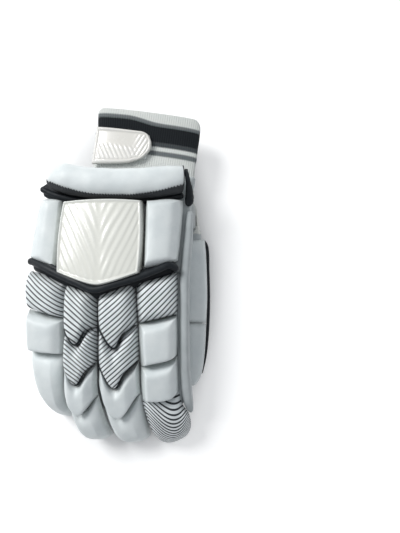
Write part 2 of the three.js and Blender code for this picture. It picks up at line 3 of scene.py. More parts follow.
import bmesh
import bpy
import numpy as np
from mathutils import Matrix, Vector


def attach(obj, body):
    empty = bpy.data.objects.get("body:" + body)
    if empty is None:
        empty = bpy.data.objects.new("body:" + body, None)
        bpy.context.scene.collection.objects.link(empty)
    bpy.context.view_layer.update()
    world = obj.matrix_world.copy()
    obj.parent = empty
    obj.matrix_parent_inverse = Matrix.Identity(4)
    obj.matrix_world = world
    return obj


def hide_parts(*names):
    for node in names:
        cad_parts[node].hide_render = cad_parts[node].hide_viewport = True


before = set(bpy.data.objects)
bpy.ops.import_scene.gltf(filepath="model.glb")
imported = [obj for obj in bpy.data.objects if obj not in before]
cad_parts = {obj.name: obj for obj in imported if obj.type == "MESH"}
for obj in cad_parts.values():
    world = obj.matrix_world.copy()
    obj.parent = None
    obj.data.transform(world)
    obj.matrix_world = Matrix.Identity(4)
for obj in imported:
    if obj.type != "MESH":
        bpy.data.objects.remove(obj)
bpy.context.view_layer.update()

# Right-hand cricket batting glove, palm down, fingers towards -Y, thumb on the +X side.
# Tables are in millimetres in the layout frame; make() moves them to the part's frame and to metres.
SHIFT = np.array([0.1, -15.9, 0.0])
GAP = 0.4
PAD_FOOT, PAD_SEAM = 10.1, 14.5
BAND = dict(x=22.0, y=135.0, z=32.0, lean=7.5, halfW=47.5, halfH=9.0, wall=2.4, low=-30.5, high=31.0)
FINGERS = {
    "little": dict(x=-62.2, y=20, z=31.6, roll=-12, half=9.4, halfL=15.6, halfR=15.0, end=123, heading=[[0, 1], [90, 2], [130, 9]], pitch=[[0, 0], [35, 5], [62, 11], [88, 17.5], [108, 27], [121, 43], [137, 92]]),
    "ring": dict(x=-31.2, y=20, z=38, roll=-5, half=9.4, halfL=13.4, halfR=13.0, end=142, heading=[[0, .5], [100, 1.5], [150, 7]], pitch=[[0, 0], [40, 2.5], [68, 8.5], [98, 15], [122, 25], [138, 45], [154, 92]]),
    "middle": dict(x=0.0, y=20, z=39, roll=1, half=9.4, halfL=15.8, halfR=15.6, end=149, heading=[[0, .5], [100, 1.5], [156, 7]], pitch=[[0, 0], [40, 4], [70, 11], [102, 17.5], [129, 26.5], [145, 45], [161, 92]]),
    "index": dict(x=33.0, y=20, z=36.6, roll=8, half=9.4, halfL=14.6, halfR=16.4, end=149, heading=[[0, 1.5], [100, 2], [156, 5]], pitch=[[0, 0], [40, 4], [72, 10.5], [104, 16.5], [131, 25.5], [145, 44], [161, 92]]),
    "thumb": dict(x=61.2, y=50, z=14.4, roll=16, half=7.6, halfL=11.0, halfR=11.2, end=126, heading=[[0, 3], [45, 1], [85, -3], [130, -9]], pitch=[[0, 0], [60, 3], [100, 4], [125, 5]]),
}
CREASES = {
    "outer": [[30, -80.0], [0, -81.0], [-25, -80.2], [-50, -79.5], [-80, -76.0], [-100, -70.0], [-125, -63.0]],
    "little_ring": [[30, -46.0], [0, -45.3], [-60, -46.0], [-95, -47.3], [-110, -43.5], [-125, -38.0]],
    "ring_middle": [[30, -17.8], [0, -17.4], [-60, -16.6], [-95, -17.2], [-120, -11.0], [-140, -3.0]],
    "middle_index": [[30, 15.2], [0, 15.6], [-30, 17.4], [-60, 18.8], [-95, 19.8], [-120, 24.5], [-145, 31.0]],
    "index_side": [[30, 52.2], [0, 52.4], [-60, 52.6], [-88, 53.2], [-108, 56.6], [-117, 62.5], [-130, 65.0], [-150, 62.0]],
}
SIDES = {"little": ("outer", "little_ring"), "ring": ("little_ring", "ring_middle"), "middle": ("ring_middle", "middle_index"), "index": ("middle_index", "index_side")}
SEAMS = {
    "little": [[[-18, .5], [0, 5.5], [16, 12]], [[-18, 33.5], [0, 39], [17, 43]], [[-17, 69.5], [0, 72], [17, 72.5]], [[-16, 119], [0, 132], [16, 134]]],
    "ring": [[[-14, 13], [0, 17.5], [15, 22.5]], [[-15, 50.5], [-2.5, 65.5], [8, 52.5], [15, 51]], [[-16, 79.5], [-4, 97.5], [5, 87], [15, 79.5]], [[-17, 109.5], [-4, 122.5], [14, 107]], [[-14, 136], [0, 150], [14, 155]]],
    "middle": [[[-17.5, 23], [0, 17], [15, 12]], [[-17, 50.5], [-3.6, 67.5], [4, 57], [14, 49.5]], [[-17, 82.5], [-4.6, 100], [4, 89], [16, 79.5]], [[-19, 107], [-3.4, 126], [16, 108]], [[-16, 144], [0, 156], [16, 160]]],
    "index": [[[-18, 12], [0, 8], [18, 4]], [[-18, 47], [0, 44], [18, 40.5]], [[-18, 82], [0, 80], [9, 78], [18, 72]], [[-18.7, 110.5], [-4, 112.5], [4, 112], [12, 108.5], [18, 101]], [[-16, 148], [4, 160], [22, 156]]],
}
TOPS = {"little": [30, 29, 27], "ring": [32, 31, 29, 25], "middle": [32, 31.5, 29.5, 25], "index": [31, 30.5, 29, 24]}
PAD_NAMES = {"little": ["striped", "block", "tip"], "ring": ["striped", "striped", "point", "tip"], "middle": ["striped", "striped", "point", "tip"], "index": ["striped", "block", "block", "striped_tip"]}


# ---------- small helpers ----------
def along(table, x, col=1):
    """Smooth curve through the rows of a table, without overshoot."""
    X = np.array([r[0] for r in table], float)
    Y = np.array([r[col] for r in table], float)
    n = len(X)
    d = np.diff(Y) / np.diff(X)
    m = np.zeros(n)
    m[0], m[-1] = d[0], d[-1]
    for k in range(1, n - 1):
        m[k] = 0 if d[k - 1] * d[k] <= 0 else 2 * d[k - 1] * d[k] / (d[k - 1] + d[k])
    q = np.clip(np.asarray(x, float), X[0], X[-1])
    i = np.clip(np.searchsorted(X, q, side="left") - 1, 0, n - 2)
    h = X[i + 1] - X[i]
    t = (q - X[i]) / h
    return (2 * t**3 - 3 * t * t + 1) * Y[i] + (t**3 - 2 * t * t + t) * h * m[i] + (3 * t * t - 2 * t**3) * Y[i + 1] + (t**3 - t * t) * h * m[i + 1]


def lerp(a, b, t):
    return a + (b - a) * t


def smooth(t):
    t = np.clip(t, 0, 1)
    return t * t * (3 - 2 * t)


def unit(v):
    return v / np.maximum(np.linalg.norm(v, axis=-1, keepdims=True), 1e-9)


def hash3(p):
    h = np.sin(p @ np.array([127.1, 311.7, 74.7])) * 43758.5453
    return h - np.floor(h)


def noise(p, scale):
    """Smooth value noise from -1 to 1 at points p; scale is the size of its lumps."""
    p = np.asarray(p, float) / scale
    i = np.floor(p)
    f = p - i
    f = f * f * (3 - 2 * f)
    out = 0
    for dx in (0, 1):
        for dy in (0, 1):
            for dz in (0, 1):
                c = hash3(i + np.array([dx, dy, dz]))
                w = (f[..., 0] if dx else 1 - f[..., 0]) * (f[..., 1] if dy else 1 - f[..., 1]) * (f[..., 2] if dz else 1 - f[..., 2])
                out = out + w * c
    return out * 2 - 1


class Finger:
    """at(s, a, h) is s mm along the finger, a mm towards the thumb side and h mm above its centre line."""

    def __init__(self, f):
        self.f = f
        self.cr, self.sr = math.cos(math.radians(f["roll"])), math.sin(math.radians(f["roll"]))
        start = np.array([f["x"], f["y"], f["z"]], float)
        t = self.axes((np.arange(350) + 0.5) * 0.5)[0]
        self.pts = np.vstack([start, start + np.cumsum(t * 0.5, axis=0)])

    def axes(self, s):
        th, ph = np.radians(along(self.f["pitch"], s)), np.radians(along(self.f["heading"], s))
        o = np.zeros_like(ph)
        fwd, side, up = np.stack([np.sin(ph), -np.cos(ph), o], -1), np.stack([np.cos(ph), np.sin(ph), o], -1), np.array([0, 0, 1.0])
        ct, st = np.cos(th)[..., None], np.sin(th)[..., None]
        t, n = fwd * ct - up * st, fwd * st + up * ct
        return t, side * self.cr - n * self.sr, side * self.sr + n * self.cr

    def centre(self, s):
        i = np.clip(np.floor(s / 0.5).astype(int), 0, len(self.pts) - 2)
        p = self.pts[i] + (self.pts[i + 1] - self.pts[i]) * (s / 0.5 - i)[..., None]
        return p

    def at(self, s, a, h):
        s, a, h = np.broadcast_arrays(np.asarray(s, float), np.asarray(a, float), np.asarray(h, float))
        _, r, n = self.axes(s)
        return self.centre(s) + r * a[..., None] + n * h[..., None]

    def a_at(self, s, h, crease):
        table = [[-y, x] for y, x in crease]
        a = np.zeros_like(np.asarray(s, float))
        for _ in range(4):
            p, q = self.at(s, a, h), self.at(s, a + 1, h)
            a = a + (along(table, -p[..., 1]) - p[..., 0]) / (q[..., 0] - p[..., 0])
        return a


FR = {k: Finger(f) for k, f in FINGERS.items()}


# ---------- meshes ----------
def signed_volume(v, quads):
    a, b, c, d = (v[quads[:, k]] for k in range(4))
    return (np.einsum("ij,ij->i", a, np.cross(b, c)).sum() + np.einsum("ij,ij->i", a, np.cross(c, d)).sum()) / 6


def make(name, verts, quads, material, attrs=None, tris=None, closed=True, smooth_shade=True):
    """A Blender mesh from millimetre vertices in the layout frame. Faces are turned outwards."""
    v = np.asarray(verts, float)
    quads = np.asarray(quads, int).reshape(-1, 4)
    tris = np.zeros((0, 3), int) if tris is None else np.asarray(tris, int).reshape(-1, 3)
    if closed:
        vol = signed_volume(v, quads) + (np.einsum("ij,ij->i", v[tris[:, 0]], np.cross(v[tris[:, 1]], v[tris[:, 2]])).sum() / 6 if len(tris) else 0)
        if vol < 0:
            quads, tris = quads[:, ::-1], tris[:, ::-1]
    me = bpy.data.meshes.new(name)
    me.from_pydata(((v + SHIFT) * 0.001).tolist(), [], quads.tolist() + tris.tolist())
    for key, val in (attrs or {}).items():
        at = me.attributes.new(key, "FLOAT", "POINT")
        at.data.foreach_set("value", np.ascontiguousarray(np.asarray(val, np.float32).ravel()))
    me.validate()
    me.update()
    if smooth_shade:
        me.shade_smooth()
    ob = bpy.data.objects.new(name, me)
    bpy.context.scene.collection.objects.link(ob)
    ob.data.materials.append(material)
    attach(ob, "root")
    return ob


def grid_quads(nu, nv, wrap_u=False):
    """Quads of an (nv+1) x (nu or nu+1) grid of vertices, row by row."""
    cols = nu if wrap_u else nu + 1
    j, i = np.meshgrid(np.arange(nv), np.arange(nu), indexing="ij")
    a = j * cols + i
    b = j * cols + (i + 1) % cols
    return np.stack([a, b, b + cols, a + cols], -1).reshape(-1, 4)


def pillow(nu, nv, place, top, foot):
    """Two height maps over one square grid that meet at its border: vertices, quads and the grid coordinates of each vertex."""
    U, W = -np.cos(np.pi * np.arange(nu + 1) / nu), -np.cos(np.pi * np.arange(nv + 1) / nv)
    w, u = np.meshgrid(W, U, indexing="ij")
    T, B = place(u, w, top(u, w)), place(u, w, foot(u, w))
    n = (nu + 1) * (nv + 1)
    inner = np.zeros((nv + 1, nu + 1), bool)
    inner[1:-1, 1:-1] = True
    index = np.arange(n).reshape(nv + 1, nu + 1)
    low = index.copy()
    low[inner] = n + np.arange(inner.sum())
    q = grid_quads(nu, nv)
    quads = np.vstack([q, low.ravel()[q][:, ::-1]])
    verts = np.vstack([T.reshape(-1, 3), B[inner]])
    uu, ww = np.concatenate([u.ravel(), u[inner]]), np.concatenate([w.ravel(), w[inner]])
    is_top = np.concatenate([np.ones(n), np.zeros(inner.sum())])
    return verts, quads, uu, ww, is_top


def ring_quads(n, rows):
    return grid_quads(n, rows - 1, wrap_u=True)


def lofted(rings, cap=True):
    """Closed solid through rings of points, shape (rows, n, 3)."""
    rows, n = rings.shape[:2]
    v = rings.reshape(-1, 3)
    quads = ring_quads(n, rows)
    tris = []
    if cap:
        v = np.vstack([v, rings[0].mean(0), rings[-1].mean(0)])
        i = np.arange(n)
        tris = np.vstack([np.stack([np.full(n, rows * n), (i + 1) % n, i], -1), np.stack([np.full(n, rows * n + 1), (rows - 1) * n + i, (rows - 1) * n + (i + 1) % n], -1)])
    return v, quads, tris


def oval(t, e):
    c, s = np.cos(t), np.sin(t)
    return np.sign(c) * np.abs(c) ** (2 / e), np.sign(s) * np.abs(s) ** (2 / e)


def catmull(points, n):
    """n points at even spacing on a centripetal Catmull-Rom curve."""
    P = np.array(points, float)
    P = np.vstack([2 * P[0] - P[1], P, 2 * P[-1] - P[-2]])
    out = []
    for k in range(1, len(P) - 2):
        p0, p1, p2, p3 = P[k - 1:k + 3]
        t0 = 0.0
        t1 = t0 + np.linalg.norm(p1 - p0) ** 0.5
        t2 = t1 + np.linalg.norm(p2 - p1) ** 0.5
        t3 = t2 + np.linalg.norm(p3 - p2) ** 0.5
        t = np.linspace(t1, t2, 24, endpoint=False)[:, None]
        a1 = (t1 - t) / (t1 - t0) * p0 + (t - t0) / (t1 - t0) * p1
        a2 = (t2 - t) / (t2 - t1) * p1 + (t - t1) / (t2 - t1) * p2
        a3 = (t3 - t) / (t3 - t2) * p2 + (t - t2) / (t3 - t2) * p3
        b1 = (t2 - t) / (t2 - t0) * a1 + (t - t0) / (t2 - t0) * a2
        b2 = (t3 - t) / (t3 - t1) * a2 + (t - t1) / (t3 - t1) * a3
        out.append((t2 - t) / (t2 - t1) * b1 + (t - t1) / (t2 - t1) * b2)
    out = np.vstack(out + [P[-2:-1]])
    return resample(out, n)


def resample(P, n):
    d = np.concatenate([[0], np.cumsum(np.linalg.norm(np.diff(P, axis=0), axis=1))])
    q = np.linspace(0, d[-1], n)
    return np.stack([np.interp(q, d, P[:, k]) for k in range(3)], -1)


def tube(path, radius, n=16, flat=1.0, round_ends=True, up=(0, 0, 1), ripple=0.0, seed=0.0):
    """A round cord: radius may vary along it, flat squashes it across the up direction."""
    P = np.asarray(path, float)
    t = unit(np.gradient(P, axis=0))
    side = unit(np.cross(np.array(up, float), t))
    nn = np.cross(t, side)
    r = np.broadcast_to(np.asarray(radius, float), (len(P),)).copy()
    d = np.concatenate([[0], np.cumsum(np.linalg.norm(np.diff(P, axis=0), axis=1))])
    if round_ends:
        e = np.minimum(d, d[-1] - d) / np.maximum(r, 1e-6)
        r = r * np.sqrt(np.clip(1 - (1 - np.clip(e, 0, 1)) ** 2, 0.02, 1))
    a = 2 * np.pi * np.arange(n) / n
    rings = P[:, None] + side[:, None] * (np.cos(a)[None, :, None] * r[:, None, None]) + nn[:, None] * (np.sin(a)[None, :, None] * (r * flat)[:, None, None])
    if ripple:
        k = noise(rings + seed, 2.2) * 0.6 + noise(rings + seed + 31.0, 0.9) * 0.4
        rings = rings + (rings - P[:, None]) * (k[..., None] * ripple)
    v, q, tr = lofted(rings)
    arc = np.concatenate([np.repeat(d, n), [0, d[-1]]])
    ang = np.concatenate([np.tile(a, len(P)), [0, 0]])
    return v, q, tr, arc, ang


def join_parts(parts):
    """Several (verts, quads, tris) as one."""
    V, Q, T, o = [], [], [], 0
    for v, q, t in parts:
        V.append(v)
        Q.append(np.asarray(q, int).reshape(-1, 4) + o)
        if len(t):
            T.append(np.asarray(t, int).reshape(-1, 3) + o)
        o += len(v)
    return np.vstack(V), np.vstack(Q), (np.vstack(T) if T else np.zeros((0, 3), int))


def stitches(path, normal, length=2.4, gap=1.1, r=0.32, lift=0.1):
    """A row of thread stitches along a path: short rounded dashes that dip in at both ends."""
    P = np.asarray(path, float)
    d = np.concatenate([[0], np.cumsum(np.linalg.norm(np.diff(P, axis=0), axis=1))])
    N = np.broadcast_to(np.asarray(normal, float), P.shape)
    parts, s = [], gap
    while s + length < d[-1]:
        q = np.linspace(s, s + length, 7)
        c = np.stack([np.interp(q, d, P[:, k]) for k in range(3)], -1)
        m = unit(np.stack([np.interp(q, d, N[:, k]) for k in range(3)], -1))
        k = np.sin(np.linspace(0, np.pi, 7))
        c = c + m * (lift + (k * 1.2 - 0.6)[:, None] * r)
        v, qd, tr, _, _ = tube(c, r * (0.55 + 0.45 * k), n=6, round_ends=False, up=m[3])
        parts.append((v, qd, tr))
        s += length + gap
    return join_parts(parts)


# ---------- materials ----------
def new_material(name):
    m = bpy.data.materials.new(name)
    m.use_nodes = True
    nt = m.node_tree
    nt.nodes.clear()
    out, bsdf = nt.nodes.new("ShaderNodeOutputMaterial"), nt.nodes.new("ShaderNodeBsdfPrincipled")
    nt.links.new(bsdf.outputs[0], out.inputs[0])
    return m, nt, bsdf


class Nodes:
    """Short forms for the node kinds used here."""

    def __init__(self, nt):
        self.nt = nt
        self.coord = nt.nodes.new("ShaderNodeTexCoord").outputs["Object"]

    def put(self, sock, value):
        if isinstance(value, bpy.types.NodeSocket):
            self.nt.links.new(value, sock)
        else:
            sock.default_value = value

    def math(self, op, a, b=None, c=None, clamp=False):
        n = self.nt.nodes.new("ShaderNodeMath")
        n.operation, n.use_clamp = op, clamp
        for k, x in enumerate((a, b, c)):
            if x is not None:
                self.put(n.inputs[k], x)
        return n.outputs[0]

    def attr(self, name):
        n = self.nt.nodes.new("ShaderNodeAttribute")
        n.attribute_name = name
        return n.outputs["Fac"]

    def stretch(self, scale):
        n = self.nt.nodes.new("ShaderNodeVectorMath")
        n.operation = "MULTIPLY"
        self.nt.links.new(self.coord, n.inputs[0])
        n.inputs[1].default_value = scale
        return n.outputs[0]

    def noise(self, size_mm, detail=3.0, rough=0.5, vector=None, distortion=0.0):
        n = self.nt.nodes.new("ShaderNodeTexNoise")
        self.put(n.inputs["Vector"], vector or self.coord)
        n.inputs["Scale"].default_value = 1000.0 / size_mm
        n.inputs["Detail"].default_value, n.inputs["Roughness"].default_value, n.inputs["Distortion"].default_value = detail, rough, distortion
        return n.outputs["Fac"]

    def voronoi(self, size_mm, feature="F1", vector=None):
        n = self.nt.nodes.new("ShaderNodeTexVoronoi")
        n.feature = feature
        self.put(n.inputs["Vector"], vector or self.coord)
        n.inputs["Scale"].default_value = 1000.0 / size_mm
        return n.outputs["Distance"]

    def range(self, x, a, b, c=0.0, d=1.0, kind="SMOOTHSTEP"):
        n = self.nt.nodes.new("ShaderNodeMapRange")
        n.interpolation_type = kind
        self.put(n.inputs[0], x)
        for k, v in zip(range(1, 5), (a, b, c, d)):
            n.inputs[k].default_value = v
        return n.outputs[0]

    def mix(self, fac, a, b, mode="MIX"):
        n = self.nt.nodes.new("ShaderNodeMix")
        n.data_type, n.blend_type = "RGBA", mode
        self.put(n.inputs["Factor"], fac)
        for sock, x in ((n.inputs[6], a), (n.inputs[7], b)):
            if isinstance(x, bpy.types.NodeSocket):
                self.nt.links.new(x, sock)
            else:
                sock.default_value = (*x, 1) if len(x) == 3 else x
        return n.outputs[2]

    def bump(self, height, distance_mm, strength=1.0, normal=None):
        n = self.nt.nodes.new("ShaderNodeBump")
        n.inputs["Strength"].default_value = strength
        n.inputs["Distance"].default_value = distance_mm * 0.001
        self.nt.links.new(height, n.inputs["Height"])
        if normal is not None:
            self.nt.links.new(normal, n.inputs["Normal"])
        return n.outputs[0]


def leather(name, color, shade, rough=0.42, grain=0.75, wrinkle=0.12, edge=True, coat=0.0, spec=0.5):
    """Coated leather: fine pebble grain, soft creases, cloudy tone, painted crease shade with a little grime near the
    seams, worn spots shinier.
    """
    m, nt, b = new_material(name)
    N = Nodes(nt)
    cloud = N.noise(16, 4, 0.55)
    cell = N.voronoi(grain)
    fine = N.noise(0.5, 2, 0.6)
    crease = N.noise(5.5, 5, 0.62, distortion=0.35)
    tone = N.mix(N.range(cloud, 0.35, 0.68), color, shade)
    speck = N.range(N.noise(2.4, 3, 0.6), 0.60, 0.78)
    tone = N.mix(N.math("MULTIPLY", speck, 0.25), tone, tuple(c * 0.90 for c in shade))
    if edge:
        # painted crease shade with some grime: within 3.2 mm of a seam the leather turns darker and a little yellower,
        # broken up by noise
        near = N.range(N.attr("edge"), 0.0, 3.2, 1.0, 0.0)
        seam_shade_and_grime = N.math("MULTIPLY", near, N.range(N.noise(3.0, 3, 0.6), 0.3, 0.75, 0.25, 0.75))
        tone = N.mix(seam_shade_and_grime, tone, tuple(c * d for c, d in zip(shade, (0.74, 0.73, 0.70))))
    nt.links.new(tone, b.inputs["Base Color"])
    r = N.range(cloud, 0.3, 0.72, rough - 0.06, rough + 0.08)
    nt.links.new(N.math("ADD", r, N.math("MULTIPLY", cell, 0.12)), b.inputs["Roughness"])
    n1 = N.bump(crease, wrinkle * 2.2, 0.55)
    n2 = N.bump(N.math("ADD", cell, N.math("MULTIPLY", fine, 0.5)), 0.055, 0.5, n1)
    nt.links.new(n2, b.inputs["Normal"])
    b.inputs["Specular IOR Level"].default_value = spec
    if coat:
        b.inputs["Coat Weight"].default_value = coat
        b.inputs["Coat Roughness"].default_value = 0.18
    return m


WHITE, WHITE_SHADE = (0.74, 0.785, 0.79), (0.685, 0.735, 0.745)
M = {}
M["white"] = leather("white_leather", WHITE, WHITE_SHADE)
M["palm"] = leather("palm_leather", (0.68, 0.69, 0.66), (0.60, 0.615, 0.59), rough=0.64, grain=0.9, wrinkle=0.3, edge=False, spec=0.3)
# painted shade: a darker copy of the white leather, for the side pieces beside the forefinger and thumb that lie in
# shade
M["side"] = leather("white_leather_painted_shade", (0.46, 0.495, 0.505), (0.41, 0.445, 0.455), rough=0.58, wrinkle=0.2, edge=False, spec=0.3)
M["stall"] = leather("finger_lining", (0.60, 0.625, 0.62), (0.53, 0.555, 0.555), rough=0.6, grain=0.8, wrinkle=0.35, edge=False, spec=0.35)


def striped():
    """Soft coated fabric with a fine diagonal weave and printed dark lines; each line lies in a shallow channel."""
    m, nt, b = new_material("striped_fabric")
    N = Nodes(nt)
    wave = N.math("ADD", N.attr("stripe"), N.math("MULTIPLY", N.math("SUBTRACT", N.noise(3.0, 2, 0.5), 0.5), 0.05))
    d = N.math("ABSOLUTE", N.math("SUBTRACT", N.math("FRACT", wave), 0.5))
    line = N.range(N.math("SUBTRACT", d, N.attr("bold")), 0.125, 0.175, 1.0, 0.0)
    cloud = N.noise(10, 3, 0.55)
    base = N.mix(N.range(cloud, 0.35, 0.7), (0.79, 0.83, 0.845), (0.72, 0.76, 0.775))
    # painted shade: within 2.6 mm of its seams the fabric is mixed up to half way to grey, where the creases between
    # pads fall in shade
    near = N.math("MULTIPLY", N.range(N.attr("edge"), 0.0, 2.6, 1.0, 0.0), 0.5)
    base = N.mix(near, base, (0.42, 0.45, 0.46))
    ink = N.mix(N.noise(0.7, 2, 0.6), (0.009, 0.012, 0.016), (0.024, 0.030, 0.036))
    nt.links.new(N.mix(line, base, ink), b.inputs["Base Color"])
    nt.links.new(N.math("ADD", N.range(cloud, 0.3, 0.7, 0.46, 0.58), N.math("MULTIPLY", line, 0.08)), b.inputs["Roughness"])
    v = N.stretch((1.0, 1.0, 0.6))
    weave = N.nt.nodes.new("ShaderNodeTexWave")
    weave.wave_type, weave.bands_direction = "BANDS", "DIAGONAL"
    N.put(weave.inputs["Vector"], v)
    weave.inputs["Scale"].default_value, weave.inputs["Distortion"].default_value, weave.inputs["Detail"].default_value = 480, 1.2, 1.0
    n1 = N.bump(N.noise(5.0, 4, 0.6, distortion=0.3), 0.24, 0.6)
    n2 = N.bump(weave.outputs["Fac"], 0.03, 0.45, n1)
    n3 = N.bump(N.range(d, 0.06, 0.24), 0.16, 0.7, n2)
    nt.links.new(n3, b.inputs["Normal"])
    b.inputs["Sheen Weight"].default_value = 0.08
    return m


M["striped"] = striped()


def trim():
    m, nt, b = new_material("black_trim")
    N = Nodes(nt)
    cloud = N.noise(6, 4, 0.6)
    tone = N.mix(cloud, (0.007, 0.009, 0.012), (0.020, 0.025, 0.030))
    wear = N.range(N.noise(1.3, 4, 0.7), 0.62, 0.8)
    tone = N.mix(N.math("MULTIPLY", wear, 0.4), tone, (0.06, 0.065, 0.07))
    nt.links.new(tone, b.inputs["Base Color"])
    nt.links.new(N.range(cloud, 0.3, 0.7, 0.42, 0.56), b.inputs["Roughness"])
    n1 = N.bump(N.noise(2.6, 4, 0.6, distortion=0.4), 0.16, 0.6)
    nt.links.new(N.bump(N.voronoi(0.6), 0.05, 0.6, n1), b.inputs["Normal"])
    b.inputs["Specular IOR Level"].default_value = 0.28
    return m


M["trim"] = trim()


def tape():
    """Woven black tape: fine cross ribs."""
    m, nt, b = new_material("black_tape")
    N = Nodes(nt)
    rib = N.math("SINE", N.math("MULTIPLY", N.attr("arc"), 7.4))
    row = N.math("SINE", N.math("MULTIPLY", N.attr("across"), 9.5))
    tone = N.mix(N.noise(1.0, 3, 0.6), (0.009, 0.011, 0.014), (0.030, 0.034, 0.040))
    tone = N.mix(N.range(rib, -1, 1, 0.0, 0.35), tone, (0.045, 0.05, 0.055))
    nt.links.new(tone, b.inputs["Base Color"])
    nt.links.new(N.range(rib, -1, 1, 0.62, 0.74), b.inputs["Roughness"])
    nt.links.new(N.bump(N.math("ADD", rib, N.math("MULTIPLY", row, 0.7)), 0.10, 0.6), b.inputs["Normal"])
    return m


M["tape"] = tape()


def moulded(name, color, shade, rough=0.2):
    """Moulded vinyl: glossy, slightly uneven, darker and yellower where the relief is low."""
    m, nt, b = new_material(name)
    N = Nodes(nt)
    cloud = N.noise(14, 3, 0.5)
    # darker and yellower where the relief is low; the bead and rib crests keep the lighter tone
    low = N.range(N.attr("relief"), -0.5, 0.9, 0.6, 0.0)
    tone = N.mix(N.range(cloud, 0.35, 0.7), color, shade)
    tone = N.mix(low, tone, tuple(c * d for c, d in zip(shade, (0.92, 0.90, 0.84))))
    nt.links.new(tone, b.inputs["Base Color"])
    nt.links.new(N.math("ADD", N.range(cloud, 0.3, 0.7, rough - 0.03, rough + 0.06), N.math("MULTIPLY", N.noise(1.1, 3, 0.6), 0.08)), b.inputs["Roughness"])
    n1 = N.bump(N.noise(3.2, 3, 0.55), 0.10, 0.5)
    nt.links.new(N.bump(N.noise(0.6, 2, 0.5), 0.012, 0.4, n1), b.inputs["Normal"])
    b.inputs["Specular IOR Level"].default_value = 0.55
    b.inputs["Coat Weight"].default_value = 0.35
    b.inputs["Coat Roughness"].default_value = 0.12
    return m


M["plate"] = moulded("moulded_plate", (0.755, 0.77, 0.735), (0.715, 0.73, 0.70))
M["patch"] = moulded("moulded_patch", (0.78, 0.77, 0.74), (0.72, 0.715, 0.70), 0.22)


def knit():
    """Ribbed knit: rows of small V stitches, with woven-in bands that run round the wrist."""
    m, nt, b = new_material("knit")
    N = Nodes(nt)
    arc, l = N.attr("arc"), N.attr("l")
    zig = N.math("MULTIPLY", N.math("SUBTRACT", N.math("PINGPONG", arc, 1.05), 0.52), 1.6)
    lz = N.math("ADD", l, zig)
    rib = N.math("COSINE", N.math("MULTIPLY", arc, 2 * math.pi / 2.1))
    slant = N.math("MULTIPLY", N.math("ABSOLUTE", N.math("SUBTRACT", N.math("FRACT", N.math("DIVIDE", arc, 2.1)), 0.5)), 1.9)
    row = N.math("SINE", N.math("MULTIPLY", N.math("ADD", l, slant), 2 * math.pi / 1.45))
    white = N.mix(N.noise(9, 3, 0.55), (0.77, 0.79, 0.765), (0.67, 0.70, 0.68))
    black, grey, dark = (0.008, 0.011, 0.014), (0.15, 0.17, 0.175), (0.055, 0.065, 0.07)
    tone = white
    for lo, hi, c, zz in BANDS:
        x = lz if zz else l
        k = N.math("MULTIPLY", N.range(x, lo - 0.15, lo + 0.15), N.range(x, hi - 0.15, hi + 0.15, 1.0, 0.0))
        tone = N.mix(k, tone, {"black": black, "grey": grey, "dark": dark}[c])
    # painted shade: the knit is darkened in the hollows between its rows and ribs, by up to about 30 percent
    pit = N.math("MULTIPLY", N.range(row, -1.0, -0.2, 1.0, 0.0), N.range(rib, -1.0, 0.4, 1.0, 0.25))
    tone = N.mix(N.math("MULTIPLY", pit, 0.32), tone, (0.05, 0.055, 0.055), "MULTIPLY")
    nt.links.new(tone, b.inputs["Base Color"])
    b.inputs["Roughness"].default_value = 0.9
    nt.links.new(N.range(N.noise(0.5, 2, 0.6), 0.3, 0.7, 0.84, 0.96), b.inputs["Roughness"])
    h = N.math("ADD", N.math("MULTIPLY", rib, 0.7), N.math("MULTIPLY", row, 0.6))
    h = N.math("ADD", h, N.math("MULTIPLY", N.noise(0.35, 2, 0.7), 0.9))
    nt.links.new(N.bump(h, 0.20, 0.75), b.inputs["Normal"])
    b.inputs["Sheen Weight"].default_value = 0.06
    b.inputs["Sheen Roughness"].default_value = 0.6
    b.inputs["Specular IOR Level"].default_value = 0.2
    return m


# bands of the wristband: from, to (mm along it, 31 is its open end), colour, whether its edges are stepped
BANDS = [(23.6, 27.0, "grey", True), (6.8, 23.6, "black", True), (2.8, 6.8, "dark", True), (-5.6, -1.0, "grey", True)]
M["knit"] = knit()


def webbing():
    m, nt, b = new_material("strap_webbing")
    N = Nodes(nt)
    fuzz = N.noise(0.8, 4, 0.7)
    tone = N.mix(fuzz, (0.62, 0.65, 0.65), (0.75, 0.78, 0.775))
    loop = N.voronoi(0.9)
    tone = N.mix(N.range(loop, 0.5, 0.0, 0.0, 0.35), tone, (0.42, 0.44, 0.44))
    nt.links.new(tone, b.inputs["Base Color"])
    nt.links.new(N.range(fuzz, 0.3, 0.7, 0.82, 0.96), b.inputs["Roughness"])
    nt.links.new(N.bump(N.math("ADD", loop, fuzz), 0.22, 0.7), b.inputs["Normal"])
    b.inputs["Sheen Weight"].default_value = 0.3
    return m


M["strap"] = webbing()


def thread(name, a, c):
    m, nt, b = new_material(name)
    N = Nodes(nt)
    tw = N.noise(0.35, 2, 0.6)
    nt.links.new(N.mix(tw, a, c), b.inputs["Base Color"])
    nt.links.new(N.range(tw, 0.3, 0.7, 0.55, 0.75), b.inputs["Roughness"])
    nt.links.new(N.bump(tw, 0.05, 0.6), b.inputs["Normal"])
    return m


M["thread"] = thread("white_thread", (0.60, 0.62, 0.61), (0.78, 0.80, 0.79))
M["black_thread"] = thread("black_thread", (0.012, 0.014, 0.017), (0.05, 0.055, 0.06))


